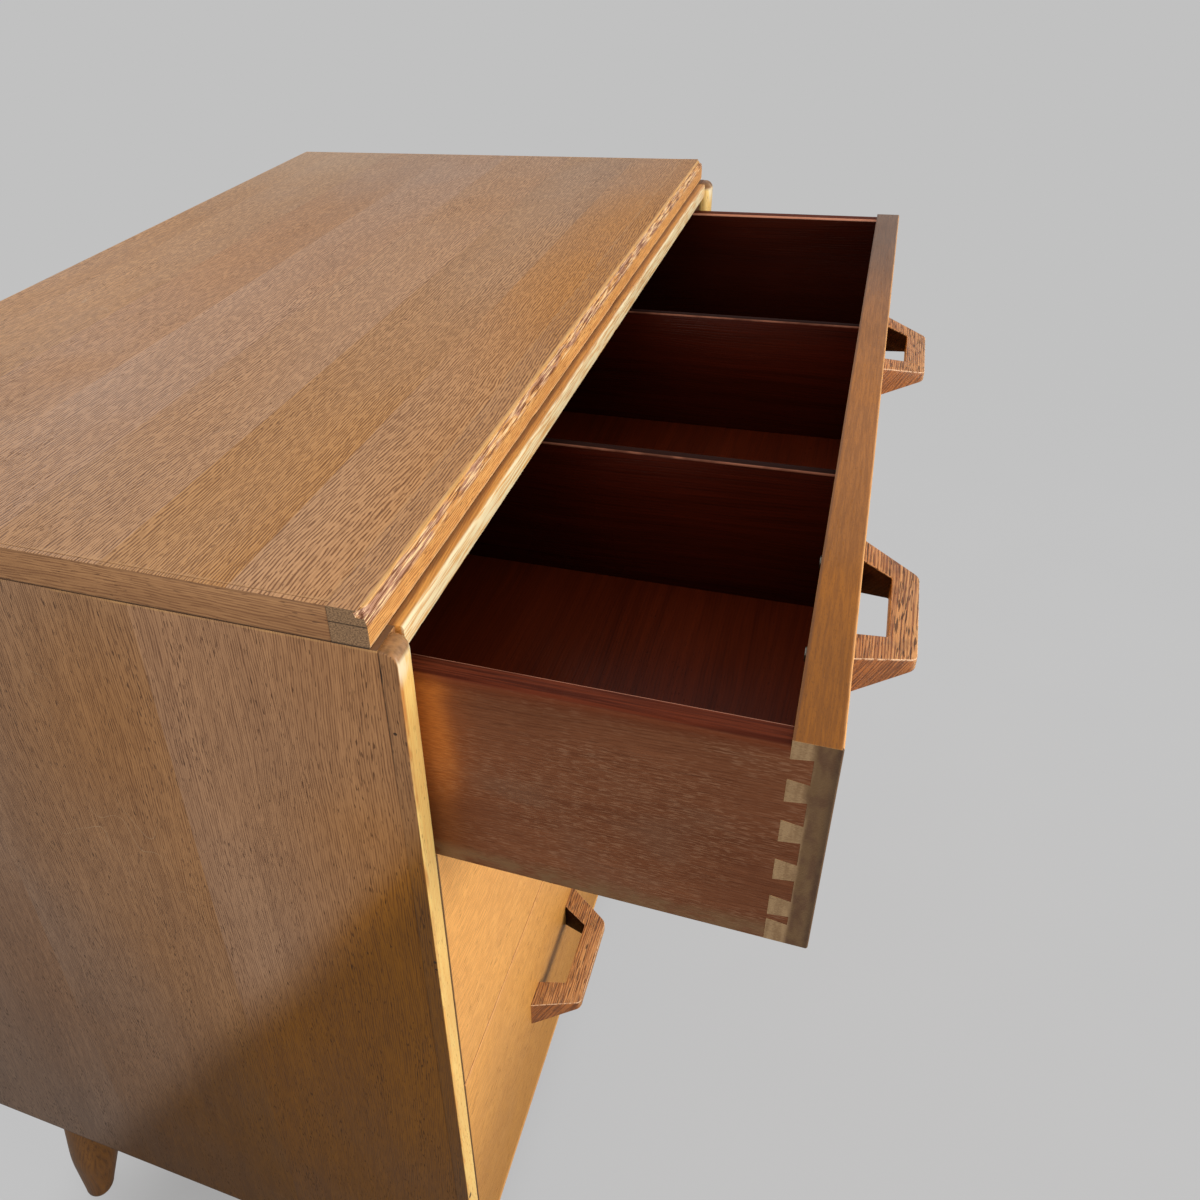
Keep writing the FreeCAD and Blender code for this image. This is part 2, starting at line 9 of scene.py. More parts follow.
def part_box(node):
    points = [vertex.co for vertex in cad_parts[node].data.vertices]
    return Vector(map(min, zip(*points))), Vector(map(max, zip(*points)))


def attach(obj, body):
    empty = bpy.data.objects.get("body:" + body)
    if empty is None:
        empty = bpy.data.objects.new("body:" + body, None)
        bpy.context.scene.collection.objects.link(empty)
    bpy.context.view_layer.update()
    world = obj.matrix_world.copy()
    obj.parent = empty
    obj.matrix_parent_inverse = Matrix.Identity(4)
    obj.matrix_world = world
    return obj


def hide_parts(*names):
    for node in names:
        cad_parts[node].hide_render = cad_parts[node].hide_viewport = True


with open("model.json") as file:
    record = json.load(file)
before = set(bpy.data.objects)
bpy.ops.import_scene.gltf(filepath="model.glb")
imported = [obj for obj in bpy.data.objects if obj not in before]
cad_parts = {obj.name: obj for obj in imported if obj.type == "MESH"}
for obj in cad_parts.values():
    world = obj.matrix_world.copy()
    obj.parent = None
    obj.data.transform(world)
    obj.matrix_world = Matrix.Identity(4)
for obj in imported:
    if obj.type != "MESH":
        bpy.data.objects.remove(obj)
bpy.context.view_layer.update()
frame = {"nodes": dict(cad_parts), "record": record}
NODES = frame["nodes"]
RECORD = frame["record"]
BODY_OF = {node: body for body, names in RECORD["behaviour"]["bodies"].items() for node in names}
scene = bpy.context.scene

BACKDROP = (194, 194, 194)
ONE_CYCLE = 6.2832
BUMP_DEPTH = 0.0003
COAT_ROUGHNESS = 0.25
# A face of more square metres than this is shaded flat
LARGE_FACE = 0.002
# Points closer than this in metres are joined, and faces that differ by fewer degrees than this
SAME_POINT = 2e-6
FLAT_ENOUGH = 0.4


def srgb(r, g, b):
    """A colour written as 0 to 255, in linear light."""
    def lin(c):
        c = c / 255.0
        return c / 12.92 if c <= 0.04045 else ((c + 0.055) / 1.055) ** 2.4
    return (lin(r), lin(g), lin(b), 1.0)


def box_of(node):
    """The lowest and the highest corner of a CAD node."""
    low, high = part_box(node)
    return (tuple(low), tuple(high))


class Shade:
    """A material's node tree, written as short expressions."""

    def __init__(self, name):
        self.mat = bpy.data.materials.new(name)
        self.mat.use_nodes = True
        self.tree = self.mat.node_tree
        self.tree.nodes.clear()
        self.out = self.new("OutputMaterial")
        self.bsdf = self.new("BsdfPrincipled")
        self.put(self.out.inputs["Surface"], self.bsdf.outputs["BSDF"])
        coords = self.new("TexCoord")
        self.obj = coords.outputs["Object"]
        self.x, self.y, self.z = self.split(self.obj)
        self.nx, self.ny, self.nz = self.split(coords.outputs["Normal"])

    def new(self, kind):
        return self.tree.nodes.new("ShaderNode" + kind)

    def put(self, socket, value):
        """Links another socket to this one, or sets this one's value."""
        if isinstance(value, bpy.types.NodeSocket):
            self.tree.links.new(value, socket)
        elif value is not None:
            socket.default_value = value

    def math(self, operation, a, b=None, c=None, clamp=False):
        node = self.new("Math")
        node.operation = operation
        node.use_clamp = clamp
        for socket, value in zip(node.inputs, (a, b, c)):
            self.put(socket, value)
        return node.outputs[0]

    def add(self, a, b):
        return self.math("ADD", a, b)

    def sub(self, a, b):
        return self.math("SUBTRACT", a, b)

    def mul(self, a, b):
        return self.math("MULTIPLY", a, b)

    def most(self, *values):
        total = values[0]
        for value in values[1:]:
            total = self.math("MAXIMUM", total, value)
        return total

    def all_of(self, *values):
        total = values[0]
        for value in values[1:]:
            total = self.mul(total, value)
        return total

    def size(self, value):
        return self.math("ABSOLUTE", value)

    def keep(self, value):
        """The value, kept between 0 and 1."""
        return self.math("ADD", value, 0.0, clamp=True)

    def step(self, value, start, end, to_start=0.0, to_end=1.0):
        """A smooth step from to_start to to_end while the value goes from start to end."""
        node = self.new("MapRange")
        node.interpolation_type = "SMOOTHSTEP"
        self.put(node.inputs["Value"], value)
        self.put(node.inputs["From Min"], start)
        self.put(node.inputs["From Max"], end)
        self.put(node.inputs["To Min"], to_start)
        self.put(node.inputs["To Max"], to_end)
        return node.outputs[0]

    def split(self, vector):
        node = self.new("SeparateXYZ")
        self.put(node.inputs[0], vector)
        return node.outputs[0], node.outputs[1], node.outputs[2]

    def join(self, x, y, z):
        node = self.new("CombineXYZ")
        for socket, value in zip(node.inputs, (x, y, z)):
            self.put(socket, value)
        return node.outputs[0]

    def noise(self, vector, detail=2.0, rough=0.5, scale=1.0):
        node = self.new("TexNoise")
        node.noise_dimensions = "3D"
        self.put(node.inputs["Vector"], vector)
        node.inputs["Scale"].default_value = scale
        node.inputs["Detail"].default_value = detail
        node.inputs["Roughness"].default_value = rough
        return node.outputs["Fac"]

    def grain(self, coords, sizes, detail=1.0, rough=0.5, seed=0.0):
        """Noise whose lumps have the given sizes in metres along the three coordinates."""
        scaled = [self.math("MULTIPLY_ADD", coord, 1.0 / size, seed * weight)
                  for coord, size, weight in zip(coords, sizes, (1.0, 1.7, 2.3))]
        return self.noise(self.join(*scaled), detail, rough)

    def white(self, value):
        """A random number that stays the same for the same value."""
        node = self.new("TexWhiteNoise")
        node.noise_dimensions = "1D"
        self.put(node.inputs["W"], value)
        return node.outputs["Value"]

    def mix(self, share, under, over):
        """One colour over another where share is 1."""
        node = self.new("Mix")
        node.data_type = "RGBA"
        self.put(node.inputs[0], share)
        self.put(node.inputs[6], under)
        self.put(node.inputs[7], over)
        return node.outputs[2]

    def mix_number(self, share, under, over):
        node = self.new("Mix")
        node.data_type = "FLOAT"
        self.put(node.inputs[0], share)
        self.put(node.inputs[2], under)
        self.put(node.inputs[3], over)
        return node.outputs[0]

    def hsv(self, colour, hue=0.5, sat=1.0, val=1.0):
        """The colour with its hue turned, 0.5 being no turn, and its saturation and value multiplied."""
        node = self.new("HueSaturation")
        self.put(node.inputs["Hue"], hue)
        self.put(node.inputs["Saturation"], sat)
        self.put(node.inputs["Value"], val)
        self.put(node.inputs["Color"], colour)
        return node.outputs[0]

    def bump(self, height, strength):
        node = self.new("Bump")
        node.inputs["Strength"].default_value = strength
        node.inputs["Distance"].default_value = BUMP_DEPTH
        self.put(node.inputs["Height"], height)
        return node.outputs[0]

    def edge(self, box, width):
        """1 on the arrises of an upright box, 0 further than width from them, broken up by noise."""
        near = []
        for place, low, high in zip((self.x, self.y, self.z), *box):
            to_low = self.size(self.sub(place, low))
            to_high = self.size(self.sub(place, high))
            near.append(self.math("MINIMUM", to_low, to_high))
        smaller = self.math("MINIMUM", near[0], near[1])
        larger = self.math("MAXIMUM", near[0], near[1])
        second = self.math("MAXIMUM", smaller, self.math("MINIMUM", larger, near[2]))
        rag = self.noise(self.obj, 3.0, 0.65, 120.0)
        reach = self.step(rag, 0.32, 0.7, 0.1 * width, width)
        return self.step(self.math("DIVIDE", second, reach), 0.5, 1.1, 1.0, 0.0)

    def spot(self, centre, radii, soft=0.4):
        """1 inside an ellipsoid, for a single mark."""
        total = 0.0
        for place, middle, radius in zip((self.x, self.y, self.z), centre, radii):
            part = self.math("DIVIDE", self.sub(place, middle), radius)
            total = self.add(self.mul(part, part), total)
        return self.step(total, 1.0 - soft, 1.0 + soft, 1.0, 0.0)

    def finish(self, look, bump=0.3, coat=0.0, specular=0.5):
        """Puts a look on the material and returns the material."""
        self.put(self.bsdf.inputs["Base Color"], look["colour"])
        self.put(self.bsdf.inputs["Roughness"], self.keep(look["rough"]))
        self.put(self.bsdf.inputs["Normal"], self.bump(look["height"], bump))
        self.bsdf.inputs["Specular IOR Level"].default_value = specular
        if coat:
            self.bsdf.inputs["Coat Weight"].default_value = coat
            self.bsdf.inputs["Coat Roughness"].default_value = COAT_ROUGHNESS
        return self.mat


def wood(s, grain, across, *, light, dark, deep, seed, rough,
         band=0.25, band_size=0.032, line=0.25, line_size=0.0042, stroke=0.5, stroke_size=(0.011, 0.0013),
         fibre=0.2, mottle=0.3, mottle_size=0.12, pores=0.4, pore_size=(0.0045, 0.0004), pore_tone=0.75,
         cluster=0.018, leaf=None, cloud=0.0, slope=0.0):
    """Oak, as colour, roughness and height: broad bands, growth lines, short strokes, open pores, leaves.

    Sizes are in metres. Band, line, stroke, fibre, mottle, pores and cloud say how strongly each one shows.
    A leaf of veneer is its width, the place where one starts and how much the leaves differ.
    """
    axes = {"x": s.x, "y": s.y, "z": s.z}
    along = axes.pop(grain)
    over = axes.pop(across)
    third = list(axes.values())[0]
    if slope:
        over = s.math("MULTIPLY_ADD", along, slope, over)
    tone = 0.5
    leaf_hue = None
    if leaf:
        width, start, amount = leaf
        index = s.math("FLOOR", s.math("DIVIDE", s.sub(over, start), width))
        pick = s.sub(s.white(s.add(index, 3.0 + seed)), 0.5)
        leaf_hue = s.sub(s.white(s.add(index, 41.0 + seed)), 0.5)
        tone = s.math("MULTIPLY_ADD", pick, amount, 0.5)
        along = s.math("MULTIPLY_ADD", pick, 0.9, along)

    sway = s.sub(s.grain((along, over, third), (0.4, 0.1, 0.1), 2.0, 0.5, seed), 0.5)
    ripple = s.sub(s.grain((along, over, third), (0.06, 0.02, 0.02), 1.0, 0.5, seed + 3), 0.5)
    over = s.add(over, s.math("MULTIPLY_ADD", sway, 0.03, s.mul(ripple, 0.0016)))
    place = (along, over, third)
    length, pitch = stroke_size
    pore_length, pore_width = pore_size
    bands = s.grain(place, (1.1, band_size, band_size), 2.0, 0.6, seed + 1)
    lines = s.grain(place, (0.16, line_size, line_size), 2.0, 0.6, seed + 2)
    strokes = s.grain(place, (length, pitch * 0.9, pitch * 0.9), 1.0, 0.5, seed + 4)
    drift = s.grain(place, (length * 2.5, pitch * 3, pitch * 3), 1.0, 0.5, seed + 5)
    wave = s.math("SINE", s.math("MULTIPLY_ADD", s.add(over, third), ONE_CYCLE / pitch, s.mul(drift, 10.0)))
    fibres = s.grain(place, (0.03, 0.0007, 0.0007), 1.0, 0.5, seed + 6)
    groups = s.grain(place, (cluster * 5, cluster, cluster), 1.0, 0.5, seed + 7)
    dots = s.grain(place, (pore_length, pore_width * 1.9, pore_width * 1.9), 0.0, 0.5, seed + 8)
    blots = s.grain(place, (mottle_size, mottle_size * 0.7, mottle_size * 0.7), 2.0, 0.55, seed + 9)

    layers = ((bands, band * 2.2), (lines, line * 2.0), (fibres, fibre * 2.2), (blots, mottle * 2.0))
    for value, amount in layers:
        tone = s.add(tone, s.mul(s.sub(value, 0.5), amount))
    pale_ribs = s.mul(s.step(wave, -0.2, -0.9), s.step(strokes, 0.62, 0.46, 0.0, 0.45))
    dark_ribs = s.mul(s.step(wave, 0.1, 0.9), s.step(strokes, 0.38, 0.55))
    ribs = s.sub(pale_ribs, dark_ribs)
    tone = s.math("MULTIPLY_ADD", ribs, stroke, s.add(tone, stroke * 0.1))
    colour = s.mix(s.keep(tone), srgb(*dark), srgb(*light))
    if leaf:
        hue = s.math("MULTIPLY_ADD", leaf_hue, 0.005, 0.5)
        colour = s.hsv(colour, hue, s.math("MULTIPLY_ADD", leaf_hue, 0.06, 1.0))
    if cloud:
        haze = s.grain(place, (0.5, 0.3, 0.3), 2.0, 0.5, seed + 11)
        colour = s.hsv(colour, 0.5, s.step(haze, 0.3, 0.7, 1.0 + cloud, 1.0 - cloud))

    cut = s.math("MULTIPLY_ADD", s.sub(groups, 0.5), -0.42, 0.80 - 0.2 * pores)
    cut = s.math("MULTIPLY_ADD", s.sub(lines, 0.5), -0.25, cut)
    holes = s.step(s.sub(dots, cut), -0.015, 0.045)
    return {"colour": s.mix(s.mul(holes, pore_tone), colour, srgb(*deep)),
            "rough": s.math("MULTIPLY_ADD", holes, 0.15, s.step(blots, 0.3, 0.7, *rough)),
            "height": s.sub(s.mul(ribs, 0.6), holes)}


def blend(s, mask, under, over):
    """One look over another where the mask is 1."""
    return {"colour": s.mix(mask, under["colour"], over["colour"]),
            "rough": s.mix_number(mask, under["rough"], over["rough"]),
            "height": s.mix_number(mask, under["height"], over["height"])}


def tint(s, look, mask, colour, amount=1.0):
    """A colour over the look where the mask is 1."""
    share = s.mul(mask, amount) if amount != 1.0 else mask
    look["colour"] = s.mix(share, look["colour"], srgb(*colour) if isinstance(colour, tuple) else colour)


def shift(s, look, mask, hue, sat, val, amount=0.9):
    """The look's own colour turned and multiplied where the mask is 1."""
    tint(s, look, mask, s.hsv(look["colour"], hue, sat, val), amount)


def scratches(s, look, colour, amount, scale):
    """A few thin pale scratches that run any way."""
    path = s.noise(s.obj, 1.0, 0.5, scale)
    place = s.noise(s.obj, 2.0, 0.5, scale * 0.3)
    thin = s.step(s.size(s.sub(path, 0.5)), 0.0, 0.0025, 1.0, 0.0)
    tint(s, look, s.mul(thin, s.step(place, 0.6, 0.68)), colour, amount)


# Looks that more than one piece shares

def top_look(s):
    """The veneer of the top, with painted light and shade: richer in front, duller at the right, darker at
    the rear left.
    """
    look = wood(s, "x", "y", light=(206, 156, 112), dark=(133, 90, 57), deep=(84, 51, 32), seed=1.3,
                band=0.14, band_size=0.034, line=0.2, line_size=0.0046, stroke=1.25,
                stroke_size=(0.0080, 0.0017), fibre=0.15, mottle=0.16, pores=0.2,
                pore_size=(0.0042, 0.00042), pore_tone=0.5, leaf=(0.066, -0.109, 0.16), cloud=0.08,
                rough=(0.46, 0.58))
    # Painted light: the front of the top is richer in colour
    front = s.step(s.y, 0.0, -0.13)
    shift(s, look, front, 0.498, 1.16, 1.0)
    # Painted shade: duller towards the right
    far = s.step(s.x, -0.05, 0.42)
    shift(s, look, far, 0.5, 0.94, 0.94)
    # Painted shade: darker at the rear left
    left = s.mul(s.step(s.x, 0.0, -0.34), s.step(s.y, -0.08, 0.14))
    shift(s, look, left, 0.5, 1.06, 0.80)
    # Painted sheen: a pale grey haze at the rear right
    painted_sheen = s.mul(s.step(s.x, 0.12, 0.36), s.step(s.y, 0.1, 0.32))
    tint(s, look, painted_sheen, (196, 180, 162), 0.22)
    scratches(s, look, (210, 184, 152), 0.3, 30.0)
    return look


def panel_look(s, side):
    """The veneer of a side, with painted light and shade: greyer to the rear, darker below, warmer in front.
    The left one has a painted shadow.
    """
    look = wood(s, "z", "y", light=(184, 138, 96), dark=(118, 80, 52), deep=(66, 40, 26),
                seed=2.2 if side == "left" else 12.6, band=0.16, band_size=0.05, line=0.24, line_size=0.005,
                stroke=0.46, stroke_size=(0.0090, 0.0013), fibre=0.26, mottle=0.22, pores=0.34,
                pore_size=(0.0060, 0.00038), pore_tone=0.7, cluster=0.014, leaf=(0.147, -0.1195, 0.14),
                cloud=0.14, slope=0.02, rough=(0.5, 0.62))
    # Painted shade: greyer and darker towards the rear
    rear = s.step(s.y, -0.02, 0.2)
    shift(s, look, rear, 0.498, 0.84, 0.83)
    # Painted shade: darker towards the bottom
    low = s.step(s.z, 0.6, 0.12)
    shift(s, look, low, 0.5, 0.96, 0.8, 1.0)
    if side == "left":
        # Painted shadow: a dark patch below a slanting edge on the left side
        slant = 1.42
        painted_shadow = s.step(s.math("MULTIPLY_ADD", s.y, slant, s.z), 0.462, 0.388)
        shift(s, look, painted_shadow, 0.5, 1.55, 0.53, 1.0)
    # Painted light: warmer at the front, between the middle and the top
    warm = s.all_of(s.step(s.y, 0.02, -0.1), s.step(s.z, 0.3, 0.55), s.step(s.z, 0.70, 0.60))
    shift(s, look, warm, 0.5, 1.28, 0.89)
    fair = s.mul(s.step(s.y, 0.05, -0.08), s.step(s.z, 0.62, 0.70))
    shift(s, look, fair, 0.5, 1.14, 1.0)
    scratches(s, look, (200, 176, 144), 0.35, 24.0)
    return look


# Meshes

def add_piece(node, bm, material, smooth):
    """Adds a piece that stands for one CAD node and rides with its body."""
    mesh = bpy.data.meshes.new(node + "_finished")
    bm.normal_update()
    bm.to_mesh(mesh)
    bm.free()
    stored = mesh.attributes.get("custom_normal")
    if stored:
        mesh.attributes.remove(stored)
    obj = bpy.data.objects.new(node + "_finished", mesh)
    scene.collection.objects.link(obj)
    mesh.materials.append(material)
    mesh.polygons.foreach_set("use_smooth", [face.area < LARGE_FACE for face in mesh.polygons])
    mesh.set_sharp_from_angle(angle=math.radians(smooth))
    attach(obj, BODY_OF[node])
    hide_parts(node)


def cad_mesh(node):
    """The CAD node's own shape with its triangles joined into flat faces."""
    bm = bmesh.new()
    bm.from_mesh(NODES[node].data)
    bmesh.ops.remove_doubles(bm, verts=bm.verts, dist=SAME_POINT)
    bmesh.ops.dissolve_limit(bm, angle_limit=math.radians(FLAT_ENOUGH), verts=bm.verts, edges=bm.edges)
    return bm


def ease(bm, width, segments, angle):
    """Rounds the arrises that turn by more than the angle."""
    bm.normal_update()
    edges = []
    for edge in bm.edges:
        if len(edge.link_faces) == 2 and edge.calc_face_angle(0.0) > math.radians(angle):
            edges.append(edge)
    if edges and width > 0:
        bmesh.ops.bevel(bm, geom=edges, offset=width, offset_type="OFFSET", segments=segments, profile=0.5,
                        affect="EDGES", clamp_overlap=True)
    return bm


def dress(node, material, width=0.0006, segments=2, smooth=35.0, angle=28.0):
    """A piece in the CAD node's own shape, with its arrises rounded."""
    add_piece(node, ease(cad_mesh(node), width, segments, angle), material, smooth)


def bar(node, section, stations, wobble, material, smooth):
    """A piece along X, as long as its node: a closed section whose corners move a little at each station."""
    low, high = box_of(node)
    start, end = low[0], high[0]
    bm = bmesh.new()
    rings = []
    for i in range(stations + 1):
        along = start + (end - start) * i / stations
        ring = []
        for corner, (y, z) in enumerate(section):
            move_y, move_z = wobble(along, corner, y, z)
            ring.append(bm.verts.new((along, y + move_y, z + move_z)))
        rings.append(ring)
    skin(bm, rings)
    bm.faces.new(list(reversed(rings[0])))
    bm.faces.new(rings[-1])
    bmesh.ops.recalc_face_normals(bm, faces=bm.faces)
    add_piece(node, bm, material, smooth)


def skin(bm, rings):
    """Faces between each ring of points and the next one."""
    count = len(rings[0])
    for one, two in zip(rings, rings[1:]):
        for j in range(count):
            k = (j + 1) % count
            bm.faces.new((one[j], one[k], two[k], two[j]))


def rounded(points, radii, steps):
    """A closed outline with its corners rounded."""
    outline = []
    count = len(points)
    for i, (point, radius) in enumerate(zip(points, radii)):
        corner = Vector(point)
        if radius <= 0:
            outline.append(tuple(corner))
            continue
        back = (Vector(points[i - 1]) - corner).normalized()
        ahead = (Vector(points[(i + 1) % count]) - corner).normalized()
        turn = math.acos(max(-1, min(1, back.dot(ahead))))
        reach = radius / math.tan(turn / 2)
        middle = corner + (back + ahead).normalized() * (radius / math.sin(turn / 2))
        first = corner + back * reach - middle
        last = corner + ahead * reach - middle
        start = math.atan2(first.y, first.x)
        sweep = math.atan2(last.y, last.x) - start
        while sweep > math.pi:
            sweep -= 2 * math.pi
        while sweep < -math.pi:
            sweep += 2 * math.pi
        for k in range(steps + 1):
            angle = start + sweep * k / steps
            outline.append((middle.x + radius * math.cos(angle), middle.y + radius * math.sin(angle)))
    return outline


# Materials of the case

def make_top():
    s = Shade("top_panel_oak")
    look = top_look(s)
    worn = s.edge(box_of("top_panel"), 0.003)
    tint(s, look, worn, (198, 152, 106), 0.4)
    return s.finish(look, 0.35, specular=0.34)


def make_edging(node):
    """A thin edging: its own grain on the edge, painted shade along its foot, the top's veneer above."""
    s = Shade(node + "_oak")
    (_, _, z0), (_, _, z1) = box_of(node)
    edge = wood(s, "y", "z", light=(184, 136, 92), dark=(136, 93, 60), deep=(64, 38, 24), seed=4.1,
                band=0.3, band_size=0.012, line=0.3, line_size=0.003, stroke=0.6,
                stroke_size=(0.010, 0.0016), pores=0.3, pore_tone=0.55, rough=(0.5, 0.65))
    # Painted shade: a dark line in the gap over the side
    low = s.step(s.z, z0 + 0.0014, z0 + 0.0004)
    tint(s, edge, low, (30, 18, 10), 0.85)
    high = s.step(s.z, z1 - 0.0018, z1 - 0.0004)
    tint(s, edge, high, (112, 76, 48), 0.5)
    look = blend(s, s.step(s.nz, 0.8, 0.95), edge, top_look(s))
    return s.finish(look, 0.35, specular=0.35)


def make_lipping_wood(node):
    """The top's front lipping: torn wood on its bevel, end grain with a seam at its ends, veneer above,
    painted highlights on its arrises and painted shade below.
    """
    s = Shade(node + "_oak")
    (_, y0, z0), (_, y1, z1) = box_of(node)
    x, y, z = s.x, s.y, s.z
    body = wood(s, "x", "z", light=(244, 184, 110), dark=(180, 116, 60), deep=(96, 54, 30), seed=7.7,
                band=0.16, band_size=0.01, line=0.3, line_size=0.0022, stroke=0.75,
                stroke_size=(0.012, 0.0016), pores=0.25, pore_tone=0.5, rough=(0.4, 0.55))
    torn = s.grain((x, s.add(z, y), y), (0.022, 0.0012, 0.0012), 2.0, 0.65, 2.0)
    patch = s.grain((x, z, y), (0.03, 0.004, 0.02), 2.0, 0.6, 6.0)
    bevel_wood = s.mix(s.step(patch, 0.45, 0.55), srgb(222, 158, 92), srgb(188, 140, 116))
    bevel_wood = s.mix(s.step(torn, 0.52, 0.58), bevel_wood, srgb(112, 66, 42))
    bevel_wood = s.mix(s.step(torn, 0.46, 0.40), bevel_wood, srgb(250, 214, 162))
    bevel = s.step(z, z1 - 0.0088, z1 - 0.0066)
    tint(s, body, bevel, bevel_wood, 0.92)
    # Painted highlight along the upper arris
    crown = s.mul(s.step(z, z1 - 0.0012, z1 - 0.0003), s.step(y, y0 + 0.0055, y0 + 0.003))
    tint(s, body, crown, (238, 180, 104), 0.8)
    # Painted highlight along the lower arris
    foot = s.mul(s.step(z, z0 + 0.0028, z0 + 0.0008), s.step(y, y0 + 0.003, y0 + 0.001))
    tint(s, body, foot, (244, 202, 152), 0.75)
    # Painted shade on the faces that look down
    under = s.step(s.nz, -0.5, -0.9)
    tint(s, body, under, (84, 50, 28), 0.8)

    speck = s.grain((x, y, z), (0.002, 0.0009, 0.0006), 1.0, 0.6, 3.0)
    ends = s.mix(s.step(speck, 0.35, 0.65), srgb(122, 94, 68), srgb(166, 131, 96))
    seam = s.step(s.size(s.sub(z, z1 - 0.0078)), 0.0001, 0.0005, 1.0, 0.0)
    ends = s.mix(s.mul(seam, 0.85), ends, srgb(40, 25, 15))
    joint = s.step(s.size(s.sub(y, y1)), 0.0001, 0.0006, 1.0, 0.0)
    ends = s.mix(s.mul(joint, 0.4), ends, srgb(60, 38, 24))
    # Painted shade: a dark line along the foot of the ends, in the gap over the side
    low = s.step(z, z0 + 0.0014, z0 + 0.0004)
    ends = s.mix(s.mul(low, 0.85), ends, srgb(30, 18, 10))
    at_end = s.step(s.size(s.nx), 0.6, 0.85)
    tint(s, body, at_end, ends)
    flat = s.mul(s.step(s.nz, 0.8, 0.95), s.step(y, y0 + 0.003, y0 + 0.0045))
    return s.finish(blend(s, flat, body, top_look(s)), 0.45, specular=0.4)


def make_rail_wood(node, lit):
    """A front rail. The lit one has a painted highlight on its nose, and a dark rear on its upper face that
    is partly painted shade and partly dirt.
    """
    s = Shade(node + "_oak")
    (_, y0, _), _ = box_of(node)
    look = wood(s, "x", "y", light=(250, 188, 98), dark=(194, 126, 56), deep=(120, 72, 38), seed=9.2,
                band=0.3, band_size=0.01, line=0.5, line_size=0.003, stroke=0.4,
                stroke_size=(0.014, 0.0016), pores=0.25, pore_tone=0.4, rough=(0.32, 0.45))
    if lit:
        streak = s.grain((s.x, s.y, s.z), (0.035, 0.0014, 0.0014), 2.0, 0.6, 4.0)
        # Painted highlight along the nose
        nose = s.step(s.y, y0 + 0.0018, y0 + 0.0005)
        tint(s, look, s.mul(nose, s.step(streak, 0.4, 0.56, 0.2, 1.0)), (255, 240, 198), 0.92)
        # Partly painted shade, partly dirt, at the rear of the upper face
        ragged_y = s.add(s.y, s.mul(s.sub(streak, 0.5), 0.003))
        rear = s.step(ragged_y, y0 + 0.0030, y0 + 0.0062)
        tint(s, look, s.mul(rear, s.step(s.nz, 0.5, 0.8)), (112, 68, 36), 0.85)
    return s.finish(look, 0.3, coat=0.1)


def make_panel(side):
    """A side of the case: worn along its top, dark on its edges and inside."""
    s = Shade(side + "_side_oak")
    (_, _, z0), (_, _, z1) = box_of(side + "_side")
    look = panel_look(s, side)
    top = s.step(s.z, z1 - 0.0016, z1 - 0.0006)
    rag = s.grain((s.x, s.y, s.z), (0.02, 0.05, 0.02), 2.0)
    tint(s, look, s.mul(top, s.step(rag, 0.4, 0.6)), (206, 158, 100), 0.7)
    tint(s, look, s.step(s.nz, 0.5, 0.8), (104, 72, 48), 0.9)
    bottom = s.step(s.z, z0 + 0.002, z0 + 0.0005)
    tint(s, look, bottom, (60, 38, 22), 0.6)
    inward = s.mul(s.nx, 1.0 if side == "left" else -1.0)
    shift(s, look, s.step(inward, 0.5, 0.8), 0.5, 0.9, 0.7, 0.8)
    return s.finish(look, 0.4, specular=0.35)


